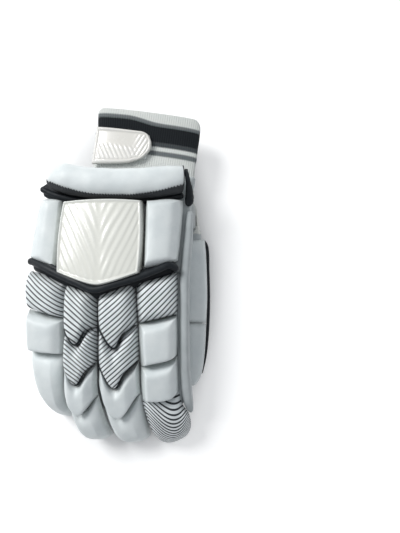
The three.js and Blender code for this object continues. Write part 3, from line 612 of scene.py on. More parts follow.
def floor_material_with_painted_glow():
    m, nt, b = new_material("pale_floor_painted_glow")
    N = Nodes(nt)
    n = N.noise(60, 3, 0.5)
    nt.links.new(N.mix(n, (0.80, 0.805, 0.81), (0.82, 0.822, 0.825)), b.inputs["Base Color"])
    nt.links.new(N.range(n, 0.3, 0.7, 0.75, 0.85), b.inputs["Roughness"])
    nt.links.new(N.bump(N.noise(2.0, 2, 0.5), 0.01, 0.2), b.inputs["Normal"])
    b.inputs["Specular IOR Level"].default_value = 0.2
    # painted light: outside an ellipse round the glove the floor glows, which washes its cast shadows out; under the
    # glove it does not glow
    far = nt.nodes.new("ShaderNodeVectorMath")
    far.operation = "LENGTH"
    nt.links.new(N.stretch((1 / 0.080, 1 / 0.160, 0.0)), far.inputs[0])
    nt.links.new(N.mix(N.range(far.outputs["Value"], 0.82, 1.22), (0, 0, 0), (1, 1, 1)), b.inputs["Emission Color"])
    b.inputs["Emission Strength"].default_value = 0.39
    return m


# ---------- camera ----------
cam_data = bpy.data.cameras.new("camera")
cam_data.sensor_width = 36.0
cam_data.lens = 517.24 / 533.0 * 36.0
cam_data.clip_start, cam_data.clip_end = 0.01, 20.0
cam = bpy.data.objects.new("camera", cam_data)
bpy.context.scene.collection.objects.link(cam)
cam.location = (0.0714, -0.04254, 0.50253)
cam.rotation_euler = (math.radians(6), 0, 0)
bpy.context.scene.camera = cam


# ---------- padded covers: a cloth simulation blows each one up a little against its seams ----------
SWELL_NU, SWELL_NV, SWELL_SCALE, SWELL_CAP = 22, 30, 10.0, 0.9


def swell(jobs):
    """jobs: name -> (place, top, foot). Runs all covers at once and gives, for each, how far its top moved, in mm, over the coarse grid."""
    out = {k: np.zeros((SWELL_NV + 1, SWELL_NU + 1, 3)) for k in jobs}
    scene, made = bpy.context.scene, []
    n = (SWELL_NU + 1) * (SWELL_NV + 1)
    for i, (name, (place, top, foot)) in enumerate(jobs.items()):
        v, q, u, w, is_top = pillow(SWELL_NU, SWELL_NV, place, top, foot)
        me = bpy.data.meshes.new("swell")
        me.from_pydata((v * 0.001 * SWELL_SCALE + np.array([0, 0, 5.0 * i])).tolist(), [], q.tolist())
        me.update()
        ob = bpy.data.objects.new("swell", me)
        scene.collection.objects.link(ob)
        g = ob.vertex_groups.new(name="pin")
        free = (is_top > 0) & (np.abs(u) < 0.999) & (np.abs(w) < 0.999)
        g.add(np.nonzero(~free)[0].tolist(), 1.0, "REPLACE")
        g.add(np.nonzero(free)[0].tolist(), 0.0, "REPLACE")
        m = ob.modifiers.new("cloth", "CLOTH")
        c = m.settings
        c.quality, c.mass = 5, 0.3
        c.tension_stiffness, c.compression_stiffness, c.shear_stiffness, c.bending_stiffness = 15.0, 15.0, 5.0, 0.5
        c.vertex_group_mass = "pin"
        c.use_pressure, c.uniform_pressure_force = True, 4.0
        c.shrink_min = -0.03
        c.effector_weights.gravity = 0.0
        m.collision_settings.use_collision = m.collision_settings.use_self_collision = False
        m.point_cache.frame_start, m.point_cache.frame_end = 1, 20
        made.append((name, ob, me, v))
    for f in range(1, 21):
        scene.frame_set(f)
    dg = bpy.context.evaluated_depsgraph_get()
    for i, (name, ob, me, v) in enumerate(made):
        ev = ob.evaluated_get(dg)
        co = np.zeros(len(v) * 3)
        ev.data.vertices.foreach_get("co", co)
        d = (co.reshape(-1, 3) - np.array([0, 0, 5.0 * i])) * 1000 / SWELL_SCALE - v
        d = np.nan_to_num(d[:n])
        far = np.linalg.norm(d, axis=1, keepdims=True)
        d = d * (SWELL_CAP * np.tanh(far / SWELL_CAP) / np.maximum(far, 1e-6))
        d = d.reshape(SWELL_NV + 1, SWELL_NU + 1, 3)
        for _ in range(2):
            d[1:-1] = (d[:-2] + 2 * d[1:-1] + d[2:]) / 4
            d[:, 1:-1] = (d[:, :-2] + 2 * d[:, 1:-1] + d[:, 2:]) / 4
        out[name] = d
    for name, ob, me, v in made:
        bpy.data.objects.remove(ob)
        bpy.data.meshes.remove(me)
    scene.frame_set(1)
    return out


def swell_at(D, u, w):
    """The swelling D of a cover's top, read at its grid coordinates u and w."""
    x = np.clip(np.arccos(np.clip(-u, -1, 1)) / np.pi * SWELL_NU, 0, SWELL_NU - 1e-6)
    y = np.clip(np.arccos(np.clip(-w, -1, 1)) / np.pi * SWELL_NV, 0, SWELL_NV - 1e-6)
    i, j = x.astype(int), y.astype(int)
    fx, fy = (x - i)[:, None], (y - j)[:, None]
    fx, fy = fx * fx * (3 - 2 * fx), fy * fy * (3 - 2 * fy)
    return (D[j, i] * (1 - fx) + D[j, i + 1] * fx) * (1 - fy) + (D[j + 1, i] * (1 - fx) + D[j + 1, i + 1] * fx) * fy


# ---------- sausages on the fingers ----------
def softmin(*ds, q=6.0):
    t = 0
    for d in ds:
        t = t + np.maximum(d, 1e-3) ** -q
    return t ** (-1 / q)


def picture_plane(v):
    """Where points of the layout frame fall in the picture, 400 x 533 units."""
    c, t = math.cos(math.radians(6)), math.sin(math.radians(6))
    depth = (502.53 - v[:, 2]) * c + (v[:, 1] + 26.64) * t
    return 200 + 517.24 * (v[:, 0] - 71.3) / depth, 266.5 - 517.24 * ((v[:, 1] + 26.64) * c + (v[:, 2] - 502.53) * t) / depth


# printed lines: middle of the pad, slope of the lines there as a cubic's derivative, spacing, its change across, offset
STRIPES = {
    "little_1": (44, 290, 0.83, -0.0245, 0.0, 5.05, 0.010, -0.065),
    "ring_1": (78, 305, 0.98, -0.016, -0.0006, 5.45, 0.0095, 0.096),
    "middle_1": (114, 315, -0.87, -0.0065, -0.0004, 5.3, 0.0, -0.174),
    "index_1": (156, 295, -0.95, 0.0, 0.0, 5.8, 0.004, -0.293),
    "ring_2": (80, 362, 0.84, -0.014, -0.0012, 4.4, 0.004, 0.293),
    "middle_2": (117, 366, -0.87, 0.0, 0.0, 5.0, 0.0, -0.218),
    "index_4": (157, 0, 0.95, -0.02, -0.0022, 0, 0, -0.075),
}


def stripe_phase(finger, k, v, s):
    px, py = picture_plane(v)
    x0, y0, b0, b1, b2, D, kappa, off = STRIPES[f"{finger}_{k + 1}"]
    t = px - x0
    h = b0 * t + b1 * t * t / 2 + b2 * t**3 / 3
    if D:
        return (py - y0 - h) / (D * np.exp(-kappa * t)) + off
    # towards the finger tip the lines draw together, then go on down its front
    c, c1 = py - h - 397, (6.3 - 2.6) / 0.135
    near = -np.log(np.maximum(1 - 0.135 / 6.3 * np.minimum(c, c1), 1e-3)) / 0.135
    return near + np.maximum(c - c1, 0) / 2.6 + np.maximum(0, s - 138) ** 1.5 / 16 + off


def pad_profile(finger, k, kind, u, w, half_a, half_s):
    """How full the pad is, 0 at its border to 1 at its top, over the grid."""
    dL, dR, dT, dB = (1 + u) * half_a, (1 - u) * half_a, (1 + w) * half_s, (1 - w) * half_s
    d = np.minimum(np.minimum(dL, dR), np.minimum(dT, dB))
    if kind == "striped":
        pu = np.where(u < 0, 6.0, 2.9)
        pw = np.where(w < 0, 3.0, 7.0)
        f = np.sqrt(np.clip((1 - np.abs(u) ** pu) * (1 - np.abs(w) ** pw), 0, 1))
        return f * (1 - 0.05 * (u + 0.2))
    if kind == "block":
        plate = softmin(1.0 + 0 * u, dL / 2.6, dR / (9.5 if finger == "little" else 8.5), dT / (6.5 if finger == "little" else 5.5), dB / 2.8, q=4.5)
        wall = np.sqrt(np.clip(1 - (1 - np.clip(d / 2.6, 0, 1)) ** 2, 0, 1))
        return wall * (0.40 + 0.60 * plate)
    if kind == "point":
        ridge = 0.28
        left = softmin(1.0 + 0 * u, dL / 4.2, (dT + 1.0) / 6.5, dB / 2.8, q=4.5)
        right = 1 - 0.52 * np.clip((u - ridge) / (1 - ridge), 0, 1) ** 1.15
        wall = np.sqrt(np.clip(1 - (1 - np.clip(d / 2.4, 0, 1)) ** 2, 0, 1))
        return wall * (0.42 + 0.58 * np.minimum(left, 1.0)) * softmin(right, 1.01 + 0 * u, q=18)
    # tips: a ridge along the finger, a hollow beside it, edges rolled under
    ridge = 0.38 + 0.10 * w
    left = 1 - 0.16 * np.clip((ridge - u) / (1 + ridge), 0, 1) ** 1.3
    right = 1 - 0.40 * np.clip((u - ridge) / (1 - ridge), 0, 1) ** 1.1
    crown = np.where(u < ridge, left, right)
    e = np.sqrt(np.clip((1 - np.abs(u) ** 6) * (1 - np.where(w < 0, np.abs(w) ** 3.5, np.abs(w) ** 4)), 0, 1))
    if kind == "striped_tip":
        crown = 1 - 0.12 * np.abs(u - 0.15) ** 1.3
    return e * crown


pads = {}


def pad_place(finger, k):
    fr, cl, cr = FR[finger], CREASES[SIDES[finger][0]], CREASES[SIDES[finger][1]]
    first, last = SEAMS[finger][k], SEAMS[finger][k + 1]
    tip = k == len(SEAMS[finger]) - 2
    # creases over the run of the finger, as a table of a for each s
    run = np.linspace(-5, 172, 120)
    aL, aR = fr.a_at(run, PAD_SEAM, cl) + GAP, fr.a_at(run, PAD_SEAM, cr) - GAP

    def coords(u, w):
        rnd = np.where(w > 0, 0.62 * w, 0.05) if tip else 0.07
        uu = u * np.sqrt(np.clip(1 - rnd * w * w, 0, 1))
        t = (w + 1) / 2
        mid = lerp(along(first, 0.0), along(last, 0.0), t)
        a = lerp(np.interp(mid, run, aL), np.interp(mid, run, aR), (uu + 1) / 2)
        s = lerp(along(first, a) + GAP, along(last, a) - GAP, t)
        return s, a

    def place(u, w, h):
        s, a = coords(u, w)
        p = fr.at(s, a, h)
        if tip:
            p[..., 2] = np.maximum(p[..., 2], 0.05)
        return p

    return coords, place, tip


def pad_heights(finger, k, kind, tip, half_a, half_s):
    top = TOPS[finger][k]
    H = lambda w: lerp(top, 17.5, smooth((w - 0.1) / 0.9)) if tip else top + 0 * w
    S = lambda w: lerp(PAD_SEAM, 12.5, smooth((w + 0.2) / 1.2)) if tip else PAD_SEAM + 0 * w
    up = lambda u, w: S(w) + (H(w) - S(w)) * pad_profile(finger, k, kind, u, w, half_a, half_s)
    low = lambda u, w: S(w) - (S(w) - PAD_FOOT) * np.sqrt(np.clip((1 - np.abs(u) ** 3) * (1 - np.abs(w) ** 3), 0, 1))
    return up, low


shapes = {}
for finger, seams in SEAMS.items():
    for k in range(len(seams) - 1):
        kind = PAD_NAMES[finger][k]
        coords, place, tip = pad_place(finger, k)
        s0, a0 = coords(np.array([-1.0, 1.0]), np.array([0.0, 0.0]))
        half_a = (a0[1] - a0[0]) / 2
        half_s = (along(seams[k + 1], 0.0) - along(seams[k], 0.0)) / 2
        up, low = pad_heights(finger, k, kind, tip, half_a, half_s)
        shapes[finger, k] = (kind, coords, place, tip, half_a, half_s, up, low)
swollen = swell({key: (sh[2], sh[6], sh[7]) for key, sh in shapes.items()})

for finger, seams in SEAMS.items():
    for k in range(len(seams) - 1):
        kind, coords, place, tip, half_a, half_s, up, low = shapes[finger, k]
        nu, nv = (68, 90) if kind.startswith("striped") else (60, 66)
        v, q, u, w, is_top = pillow(nu, nv, place, up, low)
        s, a = coords(u, w)
        edge = np.minimum((1 - np.abs(u)) * half_a, (1 - np.abs(w)) * half_s) + (1 - is_top) * 0.0
        flat_v = v.copy()
        # soft lumps and short puckers that run in from the seams
        nrm = FR[finger].axes(s)[2]
        lump = noise(v, 11.0) * 0.22 + noise(v + 50, 5.0) * 0.10
        pucker = noise(np.stack([s * 2.2, a * 2.2, 0 * s + 7 * k], -1), 5.5) * np.exp(-edge / 3.0) * 0.35
        v = v + nrm * ((lump + pucker) * is_top * np.clip(edge / 1.5, 0, 1))[:, None]
        v = v + swell_at(swollen[finger, k], u, w) * is_top[:, None]
        v[:, 2] = np.maximum(v[:, 2], 0.05)
        attrs = {"edge": edge + (1 - is_top) * 0.3}
        if kind.startswith("striped"):
            attrs["stripe"] = stripe_phase(finger, k, flat_v, s)
            attrs["bold"] = 0.075 * smooth((s - 104) / 30) if kind == "striped_tip" else 0.0 * s + 0.006
        name = f"{finger}_{k + 1}_{kind}"
        ob = make("pad_" + name, v, q, M["striped" if kind.startswith("striped") else "white"], attrs)
        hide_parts(name)
        pads[name] = (coords, place, up, swollen[finger, k])

# black edging on the pointed lobes of the striped pads
for finger in ("ring", "middle"):
    for k in (0, 1):
        coords, place, up, D = pads[f"{finger}_{k + 1}_striped"]
        end = 0.42 if k == 0 else 0.985
        u = np.linspace(-0.985, end, 260)
        w = np.full_like(u, 0.965)
        path = place(u, w, up(u, w) + 0.55) + swell_at(D, u, w)
        r = np.where(u < 0.1, lerp(1.9, 1.25, smooth((u + 0.9) / 0.5)), lerp(1.25, 0.42, smooth((u - 0.1) / 0.4)))
        v, q, t, arc, _ = tube(resample(path, 220), np.interp(np.linspace(0, 1, 220), np.linspace(0, 1, 260), r), n=12, ripple=0.06, seed=k * 9.0)
        make(f"{finger}_lobe_trim_{k + 1}", v, q, M["trim"], {"arc": arc}, t)


# ---------- panels on the back of the hand ----------
def arch_drop(x):
    return 0.0021 * (x - 2) ** 2


def back_z(x, y):
    return 50.6 - arch_drop(x) - 0.075 * (y - 20)


PANELS = {
    "back_block_outer": dict(corners=[[-80.4, 28.5], [-53.8, 18.0], [-50.4, 80.6], [-72.2, 83.0]], point=None, top=20.5, edge=7),
    "back_plate": dict(corners=[[-52.6, 14.8], [22.6, 13.3], [23.4, 78.6], [-49.2, 78.4]], point=[-17.0, 1.9], top=24.0, edge=11),
    "back_block_inner": dict(corners=[[23.6, 16.0], [52.6, 24.5], [57.2, 81.8], [24.4, 78.6]], point=None, top=21.5, edge=7),
}


def panel_place(P):
    a, b, c, d = P["corners"]

    def place(u, w, h):
        k = 0.10
        uu, ww = u * np.sqrt(1 - k * w * w), w * np.sqrt(1 - k * u * u)
        s, t = (uu + 1) / 2, (ww + 1) / 2
        low_x, low_y = lerp(a[0], b[0], s), lerp(a[1], b[1], s)
        if P["point"]:
            # the two straight edges to the point, with a small round where they meet
            py = P["point"][1]
            e = 0.09
            m = np.sqrt((s - 0.5) ** 2 + e * e) - e
            low_y = py + (lerp(a[1], b[1], s) - py) * np.clip(m / (0.5 - 0.01), 0, 1.0)
        x, y = lerp(low_x, lerp(d[0], c[0], s), t), lerp(low_y, lerp(d[1], c[1], s), t)
        return np.stack([x, y, back_z(x, y) + h], -1)

    return place


panel_shapes = {}
for name, P in PANELS.items():
    place = panel_place(P)
    (ax, ay), (bx, by), (cx, cy), (dx, dy) = P["corners"]
    hw, hl = (bx - ax + cx - dx) / 4, (cy + dy - ay - by) / 4
    plate = name == "back_plate"

    def rise(u, name=name):
        return {"back_block_inner": 9.0 * smooth((-u - 0.4) / 0.6), "back_block_outer": 3.0 * smooth(u), "back_plate": 0 * u}[name]

    def up(u, w, P=P, hw=hw, hl=hl, plate=plate, name=name, rise=rise):
        dL, dR, dT, dB = (1 + u) * hw, (1 - u) * hw, (1 - w) * hl, (1 + w) * hl
        inner_block = name == "back_block_inner"
        d = np.minimum(np.minimum(dL * (2.0 if inner_block else 1.0), dR), np.minimum(dT, dB))
        if plate:
            edge = softmin(1.0 + 0 * u, dL / 1.5, dR / 2.2, dT / 1.6, dB / 1.3, q=6.0)
            wall = np.sqrt(np.clip(1 - (1 - np.clip(d / 1.1, 0, 1)) ** 2, 0, 1))
            f = wall * (0.62 + 0.33 * edge + 0.05 * np.sqrt(np.clip((1 - u**4) * (1 - w**4), 0, 1)))
        else:
            # the facet that faces the plate is a long slope on the outer block
            l, r = (9.0, 12.0) if name == "back_block_outer" else (2.2, 9.0)
            edge = softmin(1.0 + 0 * u, dL / l, dR / r, dT / 6.0, dB / 5.0, q=7.0)
            wall = np.sqrt(np.clip(1 - (1 - np.clip(d / 3.0, 0, 1)) ** 2, 0, 1))
            f = wall * (0.45 + 0.55 * edge)
        rim = P["edge"] + rise(u)
        return rim + (P["top"] + 2.2 * inner_block * smooth(-u * 0.6 + 0.6) - rim) * f

    def low(u, w, P=P, rise=rise):
        rim = P["edge"] + rise(u)
        return rim - (rim - 0.6) * np.sqrt(np.clip((1 - np.abs(u) ** 4) * (1 - np.abs(w) ** 4), 0, 1))

    panel_shapes[name] = (place, up, low, hw, hl, plate)
blown = swell({name: sh[:3] for name, sh in panel_shapes.items() if name != "back_plate"})

for name, (place, up, low, hw, hl, plate) in panel_shapes.items():
    n = 116 if plate else 72
    v, q, u, w, is_top = pillow(n, n, place, up, low)
    dL, dR, dT, dB = (1 + u) * hw, (1 - u) * hw, (1 - w) * hl, (1 + w) * hl
    edge = np.minimum(np.minimum(dL, dR), np.minimum(dT, dB))
    if plate:
        # raised bead round the rim, then fine ribs that fan out from the point
        inner = np.minimum(np.minimum(dL - 0.5, dR - 0.6), np.minimum(dT - 0.5, dB - 0.4))
        bead = np.exp(-((inner - 1.2) / 1.0) ** 2) * 0.8
        second = 0.0 * dR
        cx0, cy0 = -14.0, 8.0
        X, Y = v[:, 0] - cx0, v[:, 1] - cy0
        lean_ = np.abs(X) - (0.40 + 0.05 * np.sin(v[:, 0] * 0.11)) * Y + 0.5 * noise(v, 13.0)
        saw = (lean_ / 5.6) % 1.0
        rib = np.where(saw < 0.72, saw / 0.72, (1 - saw) / 0.28)
        rib = smooth(rib)
        fade = smooth((inner - 2.6) / 2.2) * (0.75 + 0.5 * noise(v + 11, 15.0)) * smooth((np.abs(X) - 0.6) / 4.0)
        relief = bead + second + rib * 0.40 * fade - 0.30 * smooth((inner - 2.4) / 1.6)
        v[:, 2] += relief * is_top
        attrs = {"relief": relief * is_top + (1 - is_top) * 0.5}
        mat, slot = M["plate"], "moulded_plate"
    else:
        lump = noise(v, 16.0) * 0.30 + noise(v + 90, 6.0) * 0.10
        pucker = noise(v * np.array([1.8, 1.8, 1.0]), 5.0) * np.exp(-edge / 3.5) * 0.35
        v[:, 2] += (lump + pucker) * is_top * np.clip(edge / 1.5, 0, 1)
        v = v + swell_at(blown[name], u, w) * is_top[:, None]
        attrs = {"edge": edge + (1 - is_top) * 0.3}
        mat, slot = M["white"], "white_leather"
    ob = make("panel_" + name, v, q, mat, attrs)
    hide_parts(name)


# ---------- cords of black trim ----------
def cord_piece(name, node, points, r, ripple=0.05, n=20, count=260, flat=1.0):
    v, q, t, arc, ang = tube(catmull(points, count), r, n=n, ripple=ripple, flat=flat)
    ob = make(name, v, q, M["trim"], {"arc": arc}, t)
    if node:
        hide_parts(node)
    return ob


cord_piece("trim_knuckle", "knuckle_piping", [[-80.4, 26.2, 48], [-76, 25.0, 50.5], [-66, 20.7, 57.5], [-50, 13.0, 64.5], [-33, 5.6, 69.2], [-17.5, -0.6, 71.1], [-2, 3.4, 71.1], [21, 10.6, 69.2], [36, 16.8, 66.2], [44, 20.4, 64.2], [48.6, 19.6, 61.8], [52.0, 17.0, 58.5]], 3.1, flat=0.84)
flange = catmull([[-78.5, 28.0, 47.5], [-66, 23.4, 55.0], [-50, 15.4, 61.6], [-33, 8.0, 66.0], [-17.5, 2.0, 67.6], [-2, 6.2, 67.6], [21, 13.2, 65.8], [36, 19.4, 62.8], [44, 22.6, 60.6], [49.0, 22.0, 57.5]], 200)
v, q, t, arc, _ = tube(flange, 3.2, n=14, flat=0.34, ripple=0.04)
make("trim_knuckle_flange", v, q, M["trim"], {"arc": arc}, t)
v, q, t, arc, _ = tube(flange + np.array([0, -3.2, -10.5]), 6.0, n=14, flat=0.5)
make("trim_knuckle_backing", v, q, M["trim"], {"arc": arc}, t)
cord_piece("trim_cuff", "cuff_piping", [[-71.5, 91.5, 49], [-62, 86.6, 49.2], [-44, 81.8, 49.2], [-16, 79.3, 50.0], [12, 79.6, 50.2], [36, 81.6, 49.4], [49, 83.6, 48.6], [57.0, 85.4, 48.2]], 2.7)
v, q, t, arc, _ = tube(catmull([[-69.0, 88.6, 46.6], [-61, 84.2, 46.8], [-52, 81.2, 46.8], [-42, 79.4, 46.8], [-30, 78.4, 46.8]], 90), 3.3, n=14, flat=0.8, ripple=0.05)
make("trim_cuff_backing", v, q, M["trim"], {"arc": arc}, t)
cord_piece("trim_binding", "cuff_binding", [[58.9, 106.4, 57], [59.6, 101.5, 62.0], [60.8, 95, 61.3], [61.8, 88.5, 55.0], [61.9, 82, 48.5], [60.6, 75.8, 45.5]], np.interp(np.linspace(0, 1, 260), [0, 0.2, 0.42, 0.62, 0.85, 1], [1.7, 1.9, 2.3, 3.4, 4.0, 3.2]), ripple=0.12, flat=0.7)
thumb_line = [FR["thumb"].at(s, a, h) for s, a, h in zip([1.5, 7, 30, 60, 90, 110, 124], [12.0, 14.9, 15.2, 15.2, 15.0, 14.4, 12.8], [6.4, 6.4, 6.4, 6.4, 6.2, 6, 6])]
cord_piece("trim_thumb", "thumb_piping", thumb_line, 1.5)

# ---------- cuff roll ----------
ROLL = [[-64.5, 102.3, 51, 0.62], [-58, 100.9, 54, 0.86], [-42, 97.2, 57.5, 1], [-18, 93.5, 59.5, 1], [12, 92.9, 59.5, 1], [34, 94.9, 58.8, 1], [48.5, 97.0, 57.2, 0.95], [56.5, 98.0, 55.6, 0.86]]


def roll_at(x, t, out=0.0):
    """Point on the roll: x along it, t round it (0 towards the wrist, 90 degrees on top, 180 towards the fingers)."""
    y, z, k = along(ROLL, x, 1), along(ROLL, x, 2), along(ROLL, x, 3)
    e = np.minimum(np.clip((x + 65.6) / 6.0, 0, 1), np.clip((57.6 - x) / 2.4, 0, 1))
    k = k * np.sqrt(np.clip(1 - (1 - e) ** 2, 0, 1))
    dz = (along(ROLL, x + 0.5, 2) - along(ROLL, x - 0.5, 2))
    slope = np.stack([np.ones_like(x), 0 * x, dz], -1)
    slope = unit(slope)
    up = np.stack([-slope[..., 2], 0 * x, slope[..., 0]], -1)
    c, q = oval(t, 2.3)
    # from x = -38 to the little-finger end, the roll's wrist side is shifted up to 10 mm towards the thumb, so that end
    # is slanted
    slant = 5.0 * (c + 1) * smooth((-38 - x) / 27)
    p = np.stack([x + slant, y, z], -1) + np.array([0, 1.0, 0]) * (c * (12.9 * k + out))[..., None] + up * (q * (12.0 * k + out))[..., None]
    return p


nx, nt_ = 160, 80
X, T = np.meshgrid(-65.55 + 123.1 * (1 - np.cos(np.pi * np.arange(nx + 1) / nx)) / 2, 2 * np.pi * (np.arange(nt_) + 0.5) / nt_, indexing="ij")
R = roll_at(X, T)
lump = noise(R, 14.0) * 0.45 + noise(R + 40, 6.0) * 0.22
cr = noise(np.stack([X * 1.3, T * 6.0, 0 * X], -1), 6.0) * 0.35 * np.exp(-((T - 3.05) / 0.5) ** 2)
ctr = np.stack([X, along(ROLL, X, 1), along(ROLL, X, 2)], -1)
R = R + unit(R - ctr) * (lump + cr)[..., None]
v, q, t = lofted(R)
edge = np.concatenate([np.minimum(X + 66, 58 - X).ravel(), [0, 0]])
ob = make("padded_cuff_roll", v, q, M["white"], {"edge": edge}, t)
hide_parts("cuff_roll")


def tape_strip(name, P0, P1, normal, thick=0.55, lanes=8):
    """A flat tape between two edge paths, with a little body; P0 is its saw-toothed edge."""
    n = len(P0)
    f = np.linspace(0, 1, lanes)[None, :, None]
    S = P0[:, None] * (1 - f) + P1[:, None] * f
    topv, botv = S + normal[:, :, :] * thick, S + normal[:, :, :] * 0.05
    ringv = np.concatenate([topv, botv[:, ::-1]], axis=1)
    v, q, t = lofted(ringv)
    d = np.concatenate([[0], np.cumsum(np.linalg.norm(np.diff(P1, axis=0), axis=1))])
    arc = np.concatenate([np.repeat(d, 2 * lanes), [0, 0]])
    across = np.concatenate([np.tile(np.concatenate([np.linspace(0, 4, lanes), np.linspace(4, 0, lanes)]), n), [0, 0]])
    return make(name, v, q, M["tape"], {"arc": arc, "across": across}, t)


# zig-zag taped edge between the roll and its piping
n = 620
x = np.linspace(-64.0, 56.0, n)
zig = 1.1 * np.abs(((np.arange(n) * (120.0 / n) / 2.4) % 1) * 2 - 1)
t_hi = np.interp(x, [-64, -58, -48, -34, -18, 10, 32, 50, 56], [2.10, 2.14, 2.24, 2.42, 2.52, 2.52, 2.38, 2.16, 2.06])
t_lo = np.full(n, 4.2)
lanes = 10
f = np.linspace(0, 1, lanes)
tt = t_hi[:, None] + zig[:, None] * 0.13 * (1 - f)[None] * 1.0 + (t_lo - t_hi)[:, None] * f[None]
XX = np.repeat(x[:, None], lanes, 1)
S0, S1 = roll_at(XX, tt, 0.25), roll_at(XX, tt, 0.85)
ringv = np.concatenate([S1, S0[:, ::-1]], axis=1)
v, q, t = lofted(ringv)
arc = np.concatenate([np.repeat(x, 2 * lanes), [0, 0]])
across = np.concatenate([np.tile(np.concatenate([f * 6, f[::-1] * 6]), n), [0, 0]])
make("cuff_tape", v, q, M["tape"], {"arc": arc, "across": across}, t)

# black gusset that joins the tape's lower edge to the piping
gx = np.linspace(-66.0, 56.0, 160)
hi = roll_at(np.clip(gx, -64.5, 56), np.full(160, 3.75), 0.2)
lo = catmull([[-71.0, 92.5, 48.0], [-62, 87.6, 48.2], [-44, 82.8, 48.2], [-16, 80.3, 49.0], [12, 80.6, 49.2], [36, 82.6, 48.4], [49, 84.6, 47.6], [56.0, 86.2, 47.2]], 160)
f = np.linspace(0, 1, 8)[None, :, None]
S = hi[:, None] * (1 - f) + lo[:, None] * f + np.array([0, 0, -1.0]) * (np.sin(np.pi * f) * 0.8)
v, q, t = lofted(np.concatenate([S + np.array([0, -0.45, 0.35]), (S - np.array([0, -0.45, 0.35]))[:, ::-1]], axis=1))
arc = np.concatenate([np.repeat(gx, 16), [0, 0]])
across = np.concatenate([np.tile(np.concatenate([f.ravel() * 6, f.ravel()[::-1] * 6]), 160), [0, 0]])
make("cuff_gusset", v, q, M["tape"], {"arc": arc, "across": across}, t)

# tape over the roll's thumb end
n = 200
tt1 = np.linspace(0.5, 3.9, n)
lanes = 8
f = np.linspace(0, 1, lanes)
xx = 57.5 - (2.2 + 0.5 * np.abs(((np.arange(n) / 5.0) % 1) * 2 - 1))[:, None] * f[None]
S0, S1 = roll_at(xx, np.repeat(tt1[:, None], lanes, 1), 0.25), roll_at(xx, np.repeat(tt1[:, None], lanes, 1), 0.9)
v, q, t = lofted(np.concatenate([S1, S0[:, ::-1]], axis=1))
arc = np.concatenate([np.repeat(tt1 * 12, 2 * lanes), [0, 0]])
across = np.concatenate([np.tile(np.concatenate([f * 4, f[::-1] * 4]), n), [0, 0]])
make("cuff_end_tape", v, q, M["tape"], {"arc": arc, "across": across}, t)

# ---------- wristband ----------
lean = math.radians(BAND["lean"])
BU, BW = np.array([math.sin(lean), math.cos(lean), 0]), np.array([math.cos(lean), -math.sin(lean), 0])
B0 = np.array([BAND["x"], BAND["y"], BAND["z"]])


def band_at(l, across, up):
    l, across, up = np.broadcast_arrays(np.asarray(l, float), np.asarray(across, float), np.asarray(up, float))
    flare = -3.2 * smooth((l - 2) / 27) * smooth((-across - 5) / 40)
    return B0 + BU * l[..., None] + BW * (across + flare)[..., None] + np.array([0, 0, 1.0]) * up[..., None]


def band_section(n, e=2.7):
    """Evenly spaced points round the band: [across, up], outward normal and arc length."""
    t = np.linspace(0, 2 * np.pi, 4000, endpoint=False)
    c, s = oval(t, e)
    P = np.stack([c * BAND["halfW"], s * BAND["halfH"]], -1)
    d = np.concatenate([[0], np.cumsum(np.linalg.norm(np.diff(np.vstack([P, P[:1]]), axis=0), axis=1))])
    q = np.linspace(0, d[-1], n, endpoint=False)
    x, z = np.interp(q, d, np.append(P[:, 0], P[0, 0])), np.interp(q, d, np.append(P[:, 1], P[0, 1]))
    dx, dz = (np.roll(x, -1) - np.roll(x, 1)), (np.roll(z, -1) - np.roll(z, 1))
    m = np.hypot(dx, dz)
    return x, z, dz / m, -dx / m, q, d[-1]


n_round = 404
bx, bz, nx_, nz_, arc_, per = band_section(n_round)
arc_scaled = arc_ * (round(per / 2.1) * 2.1 / per)
rib = 0.5 + 0.5 * np.cos(arc_scaled * 2 * np.pi / 2.1)
rows = np.concatenate([np.linspace(-30.5, 29.0, 34), [29.8, 30.4, 30.8, 31.0]])
hem = np.concatenate([np.zeros(34), [0.15, 0.4, 0.8, 1.25]])
lmin = (104.7 - B0[1] + bx * math.sin(lean)) / math.cos(lean)
rings_out, rings_in, L_out, L_in = [], [], [], []
corner = np.where(bx < 0, 5.0, 7.5)
lmax = 31.0 - corner * (1 - np.sqrt(np.clip(1 - np.clip((np.abs(bx) - (47.5 - corner)) / corner, 0, 1) ** 2, 0, 1)))
for l, h in zip(rows, hem):
    ll = np.maximum(np.where(l > 20, 20 + (l - 20) * (lmax - 20) / 11.0, l), lmin)
    sag = 0.25 * np.sin(ll * 0.35 + bx * 0.07)
    off = -0.20 * (1 - rib) - h + sag * 0.4 - 0.2
    rings_out.append(band_at(ll, bx + nx_ * off, bz + nz_ * off))
    L_out.append(ll)
for l, h in zip(rows[::-1], hem[::-1]):
    ll = np.maximum(np.where(l > 20, 20 + (l - 20) * (lmax - 20) / 11.0, l), lmin)
    off = -BAND["wall"] + 0.2 * rib + h * 0.92
    rings_in.append(band_at(ll, bx + nx_ * off, bz + nz_ * off))
    L_in.append(ll)
rings = np.array(rings_out + rings_in)
nr = len(rings)
j, i = np.meshgrid(np.arange(nr), np.arange(n_round), indexing="ij")
a = j * n_round + i
b = j * n_round + (i + 1) % n_round
quads = np.stack([a, b, ((j + 1) % nr) * n_round + (i + 1) % n_round, ((j + 1) % nr) * n_round + i], -1).reshape(-1, 4)
L = np.array(L_out + L_in)
bow = 1.4 + 2.6 * smooth((np.tile(bx, (nr, 1)) + 22) / 30) + 1.9 * smooth((L - 12) / 8) * smooth((np.tile(bx, (nr, 1)) + 18) / 34)
ob = make("knitted_wristband", rings.reshape(-1, 3), quads, M["knit"], {"l": (L + bow).ravel(), "arc": np.tile(arc_scaled, nr)})
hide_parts("wristband")

